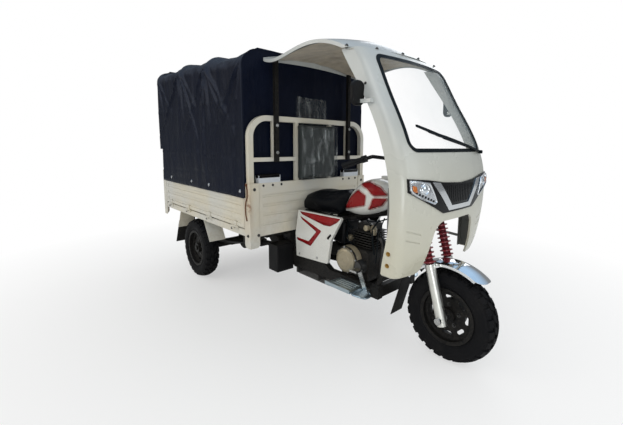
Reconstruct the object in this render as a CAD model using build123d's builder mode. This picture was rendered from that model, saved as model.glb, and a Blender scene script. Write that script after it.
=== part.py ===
"""Cargo motor tricycle with a front cab, a canvas-covered load box and three drop gates.

Millimetres. X points forward, Y to the left, Z up. The ground is Z = 0 and the
origin lies midway between the front of the front tyre and the tail hinges.
"""
import math
import os
from collections import namedtuple

from build123d import *

os.makedirs("parts", exist_ok=True)

# Wheels and their places
WHEELBASE = 2325.0
TRACK = 1065.0
TYRE_R = 280.0
TYRE_W = 132.0
BEAD_R = 158.0
RIM_LIP_R = 170.0
DRUM_R = 86.0
HUB_R = 46.0
HUB_IN = 58.0
HUB_OUT = 44.0
AXLE_R = 12.0
RUNNING_GAP = 0.1
FIT_GAP = 0.3
RIM_SLOTS = 8
RIM_SLOT_R = 112.0
RIM_SLOT_L = 52.0
RIM_SLOT_W = 21.0
REAR_OVERHANG = 745.0
REAR_AXLE_X = (REAR_OVERHANG - WHEELBASE - TYRE_R) / 2
FRONT_AXLE_X = REAR_AXLE_X + WHEELBASE

# Load box
BOX_FRONT_X = REAR_AXLE_X + 1074.0
BOX_LENGTH = 1800.0
BOX_REAR_X = BOX_FRONT_X - BOX_LENGTH
BOX_HALF_W = 615.0
POST_T = 5.0
POST_W = 80.0
POST_REAR_W = 45.0
POST_BOTTOM_Z = 517.0
POST_TOP_Z = 998.0
SLAB_HALF_W = BOX_HALF_W - POST_T
SILL_Z = 600.0
SLAB_Z = 650.0
DECK_Z = 655.0
SILL_W = 40.0
HEADBOARD_T = 30.0
HEADBOARD_TOP_Z = 998.0
GATE_T = 30.0
GATE_BOTTOM_Z = 661.0
GATE_TOP_Z = 885.0
GATE_END_GAP = 6.0
ARCH_TUBE = 40.0
ARCH_TOP_Z = 1489.0
ARCH_BEND_R = 120.0
ARCH_MID_Z = 1169.0
ARCH_BAR = 30.0
ARCH_POST_Y = 389.0
ARCH_INNER_Y = 178.0
SLAB_FRONT_X = BOX_FRONT_X - HEADBOARD_T
FRONT_ARCH_X = BOX_FRONT_X - 6.0 - ARCH_TUBE / 2
REAR_ARCH_X = BOX_REAR_X + 6.0 + ARCH_TUBE / 2
ARCH_LEG_Y = SLAB_HALF_W - ARCH_TUBE / 2

# Drop gate hinges
HINGE_R = 7.0
HINGE_PIN_R = 3.0
HINGE_OUT = 8.0
HINGE_Z = 657.0
KNUCKLE_L = 40.0
LUG_L = 24.0
LUG_GAP = 0.5
SIDE_HINGES = 4
HINGE_MARGIN = 135.0
TAIL_HINGES = 3
TAIL_HINGE_MARGIN = 164.0

# Canvas cover and its bows
HEM_Z = 893.0
TARP_STANDOFF = 9.0
TARP_HALF_W = BOX_HALF_W + TARP_STANDOFF
TARP_T = 8.0
TARP_SHOULDER_R = 130.0
TARP_CROWN = 18.0
TARP_FRONT_X = FRONT_ARCH_X - ARCH_TUBE / 2 - 6.0
TARP_REAR_X = BOX_REAR_X - 12.0
TARP_REAR_CUT_X = REAR_ARCH_X + ARCH_TUBE / 2 + 5.0
TARP_REAR_CUT_Z = 1221.0
TARP_MOUTH_HALF_W = 505.0
TARP_MOUTH_TOP_Z = 1765.0
BOW_R = 12.0
BOW_CLEAR = 1.5
BOW_Y = TARP_HALF_W - TARP_T - BOW_R - BOW_CLEAR
PURLIN_Z = 1440.0
PURLIN_Y = BOW_Y - 5.5

# Chassis
RAIL_IN_Y = 165.0
RAIL_OUT_Y = 210.0
RAIL_LOW_Z = 300.0
RAIL_TOP_Z = 425.0
RAIL_FRONT_TOP_Z = 375.0
RAIL_REAR_LOW_Z = 470.0
RAIL_REAR_TOP_Z = 560.0
RAIL_FRONT_X = 1010.0
RAIL_REAR_X = BOX_REAR_X + 56.0
SPRING_Y = 400.0
SPRING_W = 60.0
SPRING_EYE_Z = 460.0
SPRING_FRONT_X = -262.0
SPRING_REAR_X = -1500.0
SPRING_SEAT_Z = 328.0
LEAF_T = 8.0
EYE_R = 18.0
AXLE_TUBE_R = 38.0

# Steering
RAKE = 16.0
FORK_OFFSET = 40.0
FORK_Y = 105.0
SLIDER_R = 30.0
SLIDER_LOW = -35.0
SLIDER_TOP = 325.0
STANCHION_R = 17.0
SPRING_COIL_R = 38.0
LOWER_YOKE = 566.0
UPPER_YOKE = 792.0
YOKE_T = 28.0
STEM_R = 17.0
HEAD_TUBE_R = 33.0
BAR_R = 11.0
BAR_ALONG = 865.0
GRIP_R = 17.0

SIN_RAKE = math.sin(math.radians(RAKE))
COS_RAKE = math.cos(math.radians(RAKE))
FRONT_AXLE = Vector(FRONT_AXLE_X, 0, TYRE_R)
STEER_FORWARD = Vector(COS_RAKE, 0, SIN_RAKE)
STEER_AXIS = Vector(-SIN_RAKE, 0, COS_RAKE)
STEER_ORIGIN = FRONT_AXLE - STEER_FORWARD * FORK_OFFSET
STEER = Plane(origin=STEER_ORIGIN, x_dir=STEER_FORWARD, z_dir=STEER_AXIS)

# Front fender
FENDER_R = 338.0
FENDER_EDGE_R = 318.0
FENDER_LIP_R = 303.0
FENDER_HALF_W = 72.0
FENDER_T = 2.5
FENDER_FRONT_DEG = 50.0
FENDER_REAR_DEG = 145.0
FENDER_NOSE_R = 58.0

# Cab
CAB_WALL = 12.0
CAB_TOP_Z = 1815.0
CAB_CORNER_R = 62.0
Section = namedtuple("Section", "z half_w x_rear x_corner x_front")
CAB_SECTIONS = (
    Section(585.0, 455.0, 1215.0, 1298.0, 1348.0),
    Section(780.0, 474.0, 1258.0, 1342.0, 1398.0),
    Section(960.0, 481.0, 1280.0, 1357.0, 1412.0),
    Section(1170.0, 477.0, 1250.0, 1340.0, 1396.0),
    Section(1330.0, 467.0, 1190.0, 1285.0, 1340.0),
    Section(1570.0, 450.0, 1050.0, 1152.0, 1204.0),
    Section(CAB_TOP_Z, 437.0, 880.0, 1003.0, 1052.0),
)
ARCH_OPEN_LOW_HALF = 275.0
ARCH_OPEN_HIGH_HALF = 205.0
ARCH_OPEN_TOP_Z = 872.0
ARCH_OPEN_R = 88.0
SHIELD_LOW_R = 55.0
WINDOW_LOW_Z = 1247.0
WINDOW_TOP_Z = 1782.0
WINDOW_LOW_HALF = 402.0
WINDOW_TOP_HALF = 362.0
WINDOW_R = 58.0
SEAL_W = 20.0
MASK_GAP = 0.3
MASK_T = 6.0
LAMP_T = 4.0
LINER_T = 6.0
LINER_BACK_X = 1226.0
LINER_SIDE_Y = 425.0
LINER_RETURN = 40.0
LINER_FRONT_X = 1288.0
LINER_LOW_Z = 596.0
LINER_TOP_Z = 1060.0
STAY_R = 9.0
STAY_IN = (1107.0, 59.0, 770.0)
STAY_OUT_Z = 660.0
BOSS_R = 9.0
BOSS_L = 31.0
LINER_BOSSES = ((1262.0, 653.0), (1272.0, 721.0))

# Roof
ROOF_T = 8.0
ROOF_LIP = 22.0
ROOF_NOSE_T = 25.0
RoofRib = namedtuple("RoofRib", "x half_w z_edge z_crown")
ROOF_RIBS = (
    RoofRib(126.0, 468.0, 1890.0, 1955.0),
    RoofRib(500.0, 468.0, 1896.0, 1966.0),
    RoofRib(800.0, 460.0, 1878.0, 1938.0),
    RoofRib(930.0, 452.0, 1822.0, 1895.0),
    RoofRib(1060.0, 440.0, 1745.0, 1815.0),
)
ROOF_POST = 30.0
ROOF_POST_Y = 383.0
ROOF_POST_LOW_Z = 1150.0
ROOF_POST_JOIN_Z = 1868.0

# Rider's seat and tank
BACKBONE_R = 22.0
BACKBONE_FRONT = Vector(1158, 0, 888)
BACKBONE_REAR = Vector(560, 0, 742)
SEAT_RAIL_Z = 748.0
SEAT_RAIL_R = 14.0
SEAT_HALF_W = 140.0
PANEL_IN_Y = 213.0
PANEL_T = 22.0
BACKREST_HALF_W = 195.0
BACKREST_LOW_Z = 1000.0
BACKREST_TOP_Z = 1445.0
BACKREST_T = 70.0


def wheel_plane(x, y):
    return Plane(origin=(x, y, TYRE_R), x_dir=(0, 1, 0), z_dir=(1, 0, 0))


def wheel_axis(x, y):
    return Axis((x, y, TYRE_R), (0, 1, 0))


# Wheels. The disc of each wheel lies towards its outer side.
Wheel = namedtuple("Wheel", "name x y side")
WHEELS = (
    Wheel("front", FRONT_AXLE_X, 0.0, -1),
    Wheel("rear_right", REAR_AXLE_X, -TRACK / 2, -1),
    Wheel("rear_left", REAR_AXLE_X, TRACK / 2, 1),
)
for wheel in WHEELS:
    half = TYRE_W / 2
    with BuildPart() as tyre:
        with BuildSketch(wheel_plane(wheel.x, wheel.y)):
            with BuildLine():
                Line((-50, BEAD_R), (50, BEAD_R))
                Line((50, BEAD_R), (50, RIM_LIP_R + 2))
                ThreePointArc((50, RIM_LIP_R + 2), (half, BEAD_R + 56), (half - 9, TYRE_R - 18))
                ThreePointArc((half - 9, TYRE_R - 18), (0, TYRE_R), (9 - half, TYRE_R - 18))
                ThreePointArc((9 - half, TYRE_R - 18), (-half, BEAD_R + 56), (-50, RIM_LIP_R + 2))
                Line((-50, RIM_LIP_R + 2), (-50, BEAD_R))
            make_face()
        revolve(axis=wheel_axis(wheel.x, wheel.y))
    tyre.part.label = wheel.name + "_tyre"
    export_step(tyre.part, "parts/" + wheel.name + "_tyre.step")

    seat_r = BEAD_R - FIT_GAP
    side = wheel.side
    with BuildPart() as rim:
        with BuildSketch(wheel_plane(wheel.x, wheel.y)):
            with BuildLine():
                Polyline(
                    (-55, 150), (-55, RIM_LIP_R), (-51, RIM_LIP_R), (-51, seat_r),
                    (-22, seat_r), (-16, 143), (16, 143), (22, seat_r),
                    (51, seat_r), (51, RIM_LIP_R), (55, RIM_LIP_R), (55, 150),
                    (24, 150), (18, 135), (-18, 135), (-24, 150), close=True,
                )
            make_face()
            with Locations((side * 14, (HUB_R + 136) / 2)):
                Rectangle(8, 136 - HUB_R + 4)
            with Locations((side * -20, (AXLE_R + RUNNING_GAP + DRUM_R) / 2)):
                Rectangle(60, DRUM_R - AXLE_R - RUNNING_GAP)
            with Locations((side * (HUB_OUT - HUB_IN) / 2, (AXLE_R + RUNNING_GAP + HUB_R) / 2)):
                Rectangle(HUB_IN + HUB_OUT, HUB_R - AXLE_R - RUNNING_GAP)
        revolve(axis=wheel_axis(wheel.x, wheel.y))
        disc_plane = Plane(
            origin=(wheel.x, wheel.y + side * 14, TYRE_R), x_dir=(1, 0, 0), z_dir=(0, side, 0)
        )
        with BuildSketch(disc_plane):
            with PolarLocations(RIM_SLOT_R, RIM_SLOTS):
                SlotOverall(RIM_SLOT_L, RIM_SLOT_W, rotation=90)
        extrude(amount=8, both=True, mode=Mode.SUBTRACT)
    rim.part.label = wheel.name + "_rim"
    export_step(rim.part, "parts/" + wheel.name + "_rim.step")

# Rear axle beam with its differential, spring seats and wheel spindles
SPINDLE_END = TRACK / 2 + HUB_OUT + 1.5
with BuildPart() as rear_axle:
    with BuildSketch(Plane.XZ.offset(-(TRACK / 2 - HUB_IN - 9))):
        with Locations((REAR_AXLE_X, TYRE_R)):
            Circle(AXLE_TUBE_R)
    extrude(amount=TRACK - 2 * HUB_IN - 18)
    with BuildSketch(Plane.XZ.offset(-SPINDLE_END)):
        with Locations((REAR_AXLE_X, TYRE_R)):
            Circle(AXLE_R)
    extrude(amount=2 * SPINDLE_END)
    for end in (-1, 1):
        with Locations((REAR_AXLE_X, end * (SPINDLE_END + 5), TYRE_R)):
            Cylinder(AXLE_R + 9, 10, rotation=(90, 0, 0))
        with Locations((REAR_AXLE_X, end * SPRING_Y, (TYRE_R + SPRING_SEAT_Z) / 2)):
            Box(90, SPRING_W, SPRING_SEAT_Z - TYRE_R)
    with Locations((REAR_AXLE_X, 0, TYRE_R)):
        Cylinder(105, 150, rotation=(90, 0, 0))
    with Locations((REAR_AXLE_X + 130, 0, TYRE_R)):
        Cylinder(48, 120, rotation=(0, 90, 0))
rear_axle.part.label = "rear_axle"
export_step(rear_axle.part, "parts/rear_axle.step")

# Propeller shaft from the gearbox to the differential
SHAFT_REAR_X = REAR_AXLE_X + 190 + FIT_GAP
SHAFT_FRONT_X = 590.0 - FIT_GAP
SHAFT_FRONT_Z = 400.0
with BuildPart() as propeller_shaft:
    shaft_rear = Vector(SHAFT_REAR_X, 0, TYRE_R)
    shaft_front = Vector(SHAFT_FRONT_X, 0, SHAFT_FRONT_Z)
    shaft_way = shaft_front - shaft_rear
    with BuildSketch(Plane(origin=shaft_rear + shaft_way * 0.05, z_dir=shaft_way)):
        Circle(24)
    extrude(amount=shaft_way.length * 0.9)
    for joint_x, joint_z, ahead in ((SHAFT_REAR_X, TYRE_R, 1), (SHAFT_FRONT_X, SHAFT_FRONT_Z, -1)):
        with Locations((joint_x + ahead * 45, 0, joint_z)):
            Box(90, 70, 70)
propeller_shaft.part.label = "propeller_shaft"
export_step(propeller_shaft.part, "parts/propeller_shaft.step")

# Leaf springs, three leaves each, with an eye at each end
Leaf = namedtuple("Leaf", "reach level")
LEAVES = (Leaf(1.0, 2), Leaf(0.62, 1), Leaf(0.34, 0))
SPRING_MID_X = (SPRING_FRONT_X + SPRING_REAR_X) / 2
SPRING_HALF = (SPRING_FRONT_X - SPRING_REAR_X) / 2
LEAF_RISE = SPRING_EYE_Z - EYE_R + 4 - SPRING_SEAT_Z - 2 * LEAF_T
with BuildPart() as leaf_springs:
    for end in (-1, 1):
        spring_plane = Plane.XZ.offset(-(end * SPRING_Y + SPRING_W / 2))
        with BuildSketch(spring_plane):
            for leaf in LEAVES:
                reach = SPRING_HALF * leaf.reach
                low = SPRING_SEAT_Z + leaf.level * LEAF_T
                rise = LEAF_RISE * leaf.reach ** 2
                with BuildLine():
                    lower = ThreePointArc(
                        (SPRING_MID_X - reach, low + rise),
                        (SPRING_MID_X, low),
                        (SPRING_MID_X + reach, low + rise),
                    )
                    Line(lower @ 1, (SPRING_MID_X + reach, low + rise + LEAF_T))
                    ThreePointArc(
                        (SPRING_MID_X + reach, low + rise + LEAF_T),
                        (SPRING_MID_X, low + LEAF_T),
                        (SPRING_MID_X - reach, low + rise + LEAF_T),
                    )
                    Line((SPRING_MID_X - reach, low + rise + LEAF_T), lower @ 0)
                make_face()
            with Locations((SPRING_FRONT_X, SPRING_EYE_Z), (SPRING_REAR_X, SPRING_EYE_Z)):
                Circle(EYE_R)
        extrude(amount=SPRING_W)
leaf_springs.part.label = "leaf_springs"
export_step(leaf_springs.part, "parts/leaf_springs.step")

# Chassis rails, cranked down ahead of the load box
RAIL_OUTLINE = (
    (RAIL_REAR_X, RAIL_REAR_LOW_Z), (-240, RAIL_REAR_LOW_Z), (-40, RAIL_LOW_Z),
    (RAIL_FRONT_X, RAIL_LOW_Z), (RAIL_FRONT_X, RAIL_FRONT_TOP_Z), (560, RAIL_FRONT_TOP_Z),
    (480, RAIL_TOP_Z), (-30, RAIL_TOP_Z), (-200, RAIL_REAR_TOP_Z), (RAIL_REAR_X, RAIL_REAR_TOP_Z),
)
with BuildPart() as frame_rails:
    for inner in (-RAIL_OUT_Y, RAIL_IN_Y):
        with BuildSketch(Plane.XZ.offset(-(inner + RAIL_OUT_Y - RAIL_IN_Y))):
            with BuildLine():
                Polyline(*RAIL_OUTLINE, close=True)
            make_face()
        extrude(amount=RAIL_OUT_Y - RAIL_IN_Y)
frame_rails.part.label = "frame_rails"
export_step(frame_rails.part, "parts/frame_rails.step")

# Cross beams over the rails, spring hangers, engine beams and the front legs of the box
Beam = namedtuple("Beam", "x half_y z_low z_high width")
BEAMS = (
    Beam(SPRING_REAR_X, 440.0, RAIL_REAR_TOP_Z, SILL_Z, 60.0),
    Beam(REAR_AXLE_X, 440.0, RAIL_REAR_TOP_Z, SILL_Z, 60.0),
    Beam(SPRING_FRONT_X, 440.0, RAIL_REAR_TOP_Z, SILL_Z, 60.0),
    Beam(60.0, 440.0, RAIL_REAR_TOP_Z, SILL_Z, 50.0),
    Beam(640.0, RAIL_IN_Y, RAIL_LOW_Z, RAIL_LOW_Z + 20, 50.0),
    Beam(820.0, RAIL_IN_Y, RAIL_LOW_Z, RAIL_LOW_Z + 20, 50.0),
    Beam(980.0, RAIL_IN_Y, RAIL_LOW_Z, RAIL_FRONT_TOP_Z, 40.0),
)
with BuildPart() as cross_members:
    for beam in BEAMS:
        with Locations((beam.x, 0, (beam.z_low + beam.z_high) / 2)):
            Box(beam.width, 2 * beam.half_y, beam.z_high - beam.z_low)
    for end in (-1, 1):
        leg_y = end * (RAIL_IN_Y + RAIL_OUT_Y) / 2
        with Locations((60, leg_y, (RAIL_TOP_Z + RAIL_REAR_TOP_Z) / 2)):
            Box(40, RAIL_OUT_Y - RAIL_IN_Y, RAIL_REAR_TOP_Z - RAIL_TOP_Z)
        for eye_x in (SPRING_FRONT_X, SPRING_REAR_X):
            for cheek in (-1, 1):
                cheek_y = end * SPRING_Y + cheek * (SPRING_W / 2 + FIT_GAP + 3)
                with Locations((eye_x, cheek_y, (SPRING_EYE_Z - 20 + SILL_Z) / 2)):
                    Box(46, 6, SILL_Z - SPRING_EYE_Z + 20)
            with Locations((eye_x, end * SPRING_Y, RAIL_REAR_TOP_Z - 8)):
                Box(46, SPRING_W + 8, 16)
cross_members.part.label = "cross_members"
export_step(cross_members.part, "parts/cross_members.step")

# Riding frame: head tube, backbone, down tubes, seat rails and side panel brackets
Tube = namedtuple("Tube", "start end radius")
RIDING_TUBES = [Tube(BACKBONE_FRONT, BACKBONE_REAR, BACKBONE_R)]
for end in (-1, 1):
    RIDING_TUBES.append(Tube(Vector(1150, end * 14, 905), Vector(985, end * 187, 384), 18))
    RIDING_TUBES.append(Tube(Vector(640, 0, 748), Vector(530, end * 110, SEAT_RAIL_Z - 4), SEAT_RAIL_R))
    RIDING_TUBES.append(
        Tube(Vector(545, end * 110, SEAT_RAIL_Z), Vector(170, end * 110, SEAT_RAIL_Z), SEAT_RAIL_R)
    )
    RIDING_TUBES.append(Tube(Vector(230, end * 108, SEAT_RAIL_Z - 3), Vector(230, end * 187, 434), 12))
    RIDING_TUBES.append(Tube(Vector(470, end * 108, SEAT_RAIL_Z - 3), Vector(450, end * 187, 434), 12))
for bracket_x, bracket_z in ((262, SEAT_RAIL_Z + 1), (600, 752)):
    RIDING_TUBES.append(
        Tube(Vector(bracket_x, -PANEL_IN_Y, bracket_z), Vector(bracket_x, PANEL_IN_Y, bracket_z), 10)
    )
FRAME_FEET = ((985, RAIL_FRONT_TOP_Z), (230, RAIL_TOP_Z), (450, RAIL_TOP_Z))
with BuildPart() as riding_frame:
    for tube in RIDING_TUBES:
        way = tube.end - tube.start
        with BuildSketch(Plane(origin=tube.start, z_dir=way)):
            Circle(tube.radius)
        extrude(amount=way.length)
    for foot_x, foot_z in FRAME_FEET:
        for end in (-1, 1):
            with Locations((foot_x, end * 187, foot_z + 9)):
                Box(60, 40, 18)
    with BuildSketch(STEER.offset(LOWER_YOKE + YOKE_T + 2)):
        Circle(HEAD_TUBE_R)
    extrude(amount=UPPER_YOKE - LOWER_YOKE - YOKE_T - 4)
    with BuildSketch(STEER.offset(LOWER_YOKE)):
        Circle(STEM_R + RUNNING_GAP)
    extrude(amount=UPPER_YOKE - LOWER_YOKE + YOKE_T, mode=Mode.SUBTRACT)
riding_frame.part.label = "riding_frame"
export_step(riding_frame.part, "parts/riding_frame.step")

# Engine: crankcase with round side covers, and the finned cylinder above it
ENGINE_X = 700.0
CASE_LOW_Z = RAIL_LOW_Z + 20
CASE_TOP_Z = 560.0
COVER_R = 97.0
COVER_Z = 477.0
with BuildPart() as engine_case:
    with Locations((ENGINE_X + 15, 0, (CASE_LOW_Z + CASE_TOP_Z) / 2)):
        Box(250, 230, CASE_TOP_Z - CASE_LOW_Z)
    fillet(engine_case.edges().filter_by(Axis.Y), 40)
    with BuildSketch(Plane.XZ.offset(115)):
        with Locations((ENGINE_X - 10, COVER_Z)):
            Circle(COVER_R)
        with Locations((ENGINE_X + 85, COVER_Z - 35)):
            Circle(52)
    extrude(amount=60)
    with BuildSketch(Plane.XZ.offset(175)):
        with Locations((ENGINE_X - 10, COVER_Z)):
            Circle(COVER_R - 14)
    extrude(amount=12)
    with BuildSketch(Plane.XZ.offset(-115)):
        with Locations((ENGINE_X, COVER_Z - 10)):
            Circle(88)
    extrude(amount=-40)
engine_case.part.label = "engine_case"
export_step(engine_case.part, "parts/engine_case.step")

CYLINDER_X = 755.0
FIN_COUNT = 7
FIN_PITCH = 18.0
FIN_T = 5.0
with BuildPart() as engine_cylinder:
    with Locations((CYLINDER_X, 0, CASE_TOP_Z + FIN_PITCH * FIN_COUNT / 2)):
        Box(118, 126, FIN_PITCH * FIN_COUNT)
    for fin in range(FIN_COUNT):
        with Locations((CYLINDER_X, 0, CASE_TOP_Z + FIN_PITCH * (fin + 0.6))):
            Box(172, 180, FIN_T)
    with Locations((CYLINDER_X, 0, CASE_TOP_Z + FIN_PITCH * FIN_COUNT + 24)):
        Box(128, 120, 48)
    with Locations((CYLINDER_X - 95, 0, CASE_TOP_Z + 82)):
        Box(90, 66, 56)
engine_cylinder.part.label = "engine_cylinder"
export_step(engine_cylinder.part, "parts/engine_cylinder.step")

# Exhaust: header pipe round the front of the right rail to a muffler between the rails
EXHAUST_WAY = (
    (CYLINDER_X + 86 + FIT_GAP, -20, 640), (906, -20, 640), (906, -75, 246), (470, -90, 238),
)
PIPE_R = 21.0
MUFFLER_R = 52.0
with BuildPart() as exhaust:
    with Locations((275, -90, 238)):
        Cylinder(MUFFLER_R, 400, rotation=(0, 90, 0))
    fillet(exhaust.edges().filter_by(GeomType.CIRCLE), 18)
    with BuildLine():
        pipe_line = FilletPolyline(*EXHAUST_WAY, radius=55)
    with BuildSketch(Plane(origin=pipe_line @ 0, z_dir=pipe_line % 0)):
        Circle(PIPE_R)
    sweep()
    for hanger_x in (150, 400):
        with Locations((hanger_x, -(RAIL_IN_Y + RAIL_OUT_Y) / 2, RAIL_LOW_Z - 4)):
            Box(30, 45, 8)
        with Locations((hanger_x, -140, 270)):
            Box(20, 100, 60)
exhaust.part.label = "exhaust"
export_step(exhaust.part, "parts/exhaust.step")

# Fuel tank, saddled over the backbone
TankRib = namedtuple("TankRib", "x width z_low z_high corner")
TANK_RIBS = (
    TankRib(585.0, 150.0, 798.0, 828.0, 13.0),
    TankRib(665.0, 262.0, 799.0, 946.0, 62.0),
    TankRib(790.0, 336.0, 804.0, 1040.0, 92.0),
    TankRib(905.0, 342.0, 842.0, 1060.0, 92.0),
    TankRib(1030.0, 214.0, 893.0, 990.0, 44.0),
)
with BuildPart() as fuel_tank:
    for rib in TANK_RIBS:
        with BuildSketch(Plane.YZ.offset(rib.x)):
            with Locations((0, (rib.z_low + rib.z_high) / 2)):
                RectangleRounded(rib.width, rib.z_high - rib.z_low, rib.corner)
    loft()
    saddle_way = BACKBONE_FRONT - BACKBONE_REAR
    with BuildSketch(Plane(origin=BACKBONE_REAR, z_dir=saddle_way)):
        Circle(BACKBONE_R + 0.5)
    extrude(amount=saddle_way.length, mode=Mode.SUBTRACT)
    with Locations((890, 0, 1062)):
        Cylinder(34, 26)
fuel_tank.part.label = "fuel_tank"
export_step(fuel_tank.part, "parts/fuel_tank.step")

# Seat cushion
SEAT_LOW_Z = SEAT_RAIL_Z + SEAT_RAIL_R + 0.5
SEAT_OUTLINE = (
    (152, SEAT_LOW_Z), (540, SEAT_LOW_Z), (566, 832), (628, 935), (600, 950),
    (437, 947), (190, 908), (152, 850),
)
with BuildPart() as seat:
    with BuildSketch(Plane.XZ.offset(-SEAT_HALF_W)) as seat_face:
        with BuildLine():
            Polyline(*SEAT_OUTLINE, close=True)
        make_face()
        fillet([v for v in seat_face.vertices() if v.Y > 845], 12)
    extrude(amount=2 * SEAT_HALF_W)
seat.part.label = "seat"
export_step(seat.part, "parts/seat.step")

# Side panels below the seat
PANEL_OUTLINE = ((226, 778), (188, 591), (200, 404), (561, 426), (592, 602), (704, 786))
with BuildPart() as side_panels:
    for inner in (-PANEL_IN_Y - PANEL_T, PANEL_IN_Y):
        with BuildSketch(Plane.XZ.offset(-(inner + PANEL_T))) as panel_face:
            with BuildLine():
                Polyline(*PANEL_OUTLINE, close=True)
            make_face()
            fillet(panel_face.vertices(), 14)
        extrude(amount=PANEL_T)
side_panels.part.label = "side_panels"
export_step(side_panels.part, "parts/side_panels.step")

# Battery box on the right rail
with BuildPart() as battery_box:
    with Locations((65, -(RAIL_OUT_Y + 80), 382)):
        Box(130, 160, 215)
    fillet(battery_box.edges().filter_by(Axis.Z), 10)
battery_box.part.label = "battery_box"
export_step(battery_box.part, "parts/battery_box.step")

# Foot boards on the rails, with a turned-up edge
BOARD_Z = 350.0
BOARD_W = 150.0
BOARD_L = 228.0
BOARD_X = 784.0
with BuildPart() as foot_boards:
    for end in (-1, 1):
        with Locations((BOARD_X, end * (RAIL_OUT_Y + BOARD_W / 2), BOARD_Z)):
            Box(BOARD_L, BOARD_W, 8)
        with Locations((BOARD_X, end * (RAIL_OUT_Y + BOARD_W - 3), BOARD_Z + 8)):
            Box(BOARD_L, 6, 24)
        with Locations((BOARD_X, end * (RAIL_OUT_Y + 3), BOARD_Z - 19)):
            Box(BOARD_L - 70, 6, 38)
foot_boards.part.label = "foot_boards"
export_step(foot_boards.part, "parts/foot_boards.step")

# Brake pedal on the right rail
with BuildPart() as brake_pedal:
    with BuildSketch(Plane.XZ.offset(RAIL_OUT_Y + 22)):
        with BuildLine():
            Polyline((852, 462), (884, 470), (952, 330), (942, 306), (918, 322), close=True)
        make_face()
    extrude(amount=9)
    with BuildSketch(Plane.XZ.offset(RAIL_OUT_Y)):
        with Locations((930, 342)):
            Circle(14)
    extrude(amount=24)
    with Locations((862, -(RAIL_OUT_Y + 50), 468)):
        Box(60, 62, 12)
brake_pedal.part.label = "brake_pedal"
export_step(brake_pedal.part, "parts/brake_pedal.step")


# Cab: one moulded shell, lofted up through seven level sections
def cab_form(inset, open_back):
    with BuildPart() as form:
        last = len(CAB_SECTIONS) - 1
        for number, row in enumerate(CAB_SECTIONS):
            level = row.z + (open_back if number == last else 0) - (open_back if number == 0 else 0)
            half_w = row.half_w - inset
            x_rear = row.x_rear - 60 * open_back
            x_corner = row.x_corner - inset
            x_front = row.x_front - inset
            with BuildSketch(Plane.XY.offset(level)) as level_face:
                with BuildLine():
                    Line((x_rear, -half_w), (x_corner, -half_w + 8))
                    ThreePointArc((x_corner, -half_w + 8), (x_front, 0), (x_corner, half_w - 8))
                    Line((x_corner, half_w - 8), (x_rear, half_w))
                    Line((x_rear, half_w), (x_rear, -half_w))
                make_face()
                fillet(level_face.vertices().sort_by(Axis.X)[-2:], CAB_CORNER_R - inset)
        loft()
    return form.part


def front_prism(outline, radius):
    with BuildPart() as prism:
        with BuildSketch(Plane.YZ.offset(700)) as outline_face:
            with BuildLine():
                Polyline(*outline, close=True)
            make_face()
            if radius > 0:
                fillet(outline_face.vertices(), radius)
        extrude(amount=900)
    return prism.part


def window_prism(inset):
    low_half = WINDOW_LOW_HALF - inset
    top_half = WINDOW_TOP_HALF - inset
    low_z = WINDOW_LOW_Z + inset
    top_z = WINDOW_TOP_Z - inset
    return front_prism(
        ((-low_half, low_z), (low_half, low_z), (top_half, top_z), (-top_half, top_z)),
        WINDOW_R - inset,
    )


cab_skin = cab_form(0, 0)
cab_hollow = cab_form(CAB_WALL, 1)
window_hole = window_prism(0)
seal_outline = window_prism(FIT_GAP)
seal_hole = window_prism(SEAL_W)
glass_outline = window_prism(SEAL_W + FIT_GAP)

with BuildPart() as cab_outline:
    with BuildSketch(Plane.YZ.offset(700)) as outline_face:
        with BuildLine():
            Polyline(
                (-560, 1900), (560, 1900), (560, 980), (452, 570), (ARCH_OPEN_LOW_HALF, 585),
                (ARCH_OPEN_HIGH_HALF, ARCH_OPEN_TOP_Z), (-ARCH_OPEN_HIGH_HALF, ARCH_OPEN_TOP_Z),
                (-ARCH_OPEN_LOW_HALF, 585), (-452, 570), (-560, 980), close=True,
            )
        make_face()
        fillet([v for v in outline_face.vertices() if v.Y < 600], SHIELD_LOW_R)
        fillet([v for v in outline_face.vertices() if abs(v.Y - ARCH_OPEN_TOP_Z) < 0.1], ARCH_OPEN_R)
    extrude(amount=900)

# Two grooves pressed into each leg shield
GROOVE_DEPTH = 2.5
GROOVE_H = 6.0
Groove = namedtuple("Groove", "y_out z_out y_in z_in")
GROOVES = (Groove(438, 850, 330, 817), Groove(433, 800, 330, 770))
groove_floor = cab_form(GROOVE_DEPTH, 0)
groove_prisms = []
for row in GROOVES:
    for end in (-1, 1):
        outline = (
            (end * row.y_out, row.z_out), (end * row.y_in, row.z_in),
            (end * row.y_in, row.z_in + GROOVE_H), (end * row.y_out, row.z_out + GROOVE_H),
        )
        groove_prisms.append(front_prism(outline, 0))
with BuildPart() as shield_grooves:
    add(groove_prisms)
    add(groove_floor, mode=Mode.SUBTRACT)

with BuildPart() as cab_shell:
    add(cab_skin)
    add(cab_hollow, mode=Mode.SUBTRACT)
    add(cab_outline.part, mode=Mode.INTERSECT)
    add(window_hole, mode=Mode.SUBTRACT)
    add(shield_grooves.part, mode=Mode.SUBTRACT)
cab_shell.part.label = "cab_shell"
export_step(cab_shell.part, "parts/cab_shell.step")

# Windscreen glass inside its rubber seal
seal_outer = cab_form(-3, 0)
glass_outer = cab_form(2, 0)
glass_inner = cab_form(8, 1)
with BuildPart() as windshield_seal:
    add(seal_outline)
    add(seal_hole, mode=Mode.SUBTRACT)
    add(seal_outer, mode=Mode.INTERSECT)
    add(cab_hollow, mode=Mode.SUBTRACT)
windshield_seal.part.label = "windshield_seal"
export_step(windshield_seal.part, "parts/windshield_seal.step")

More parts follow.
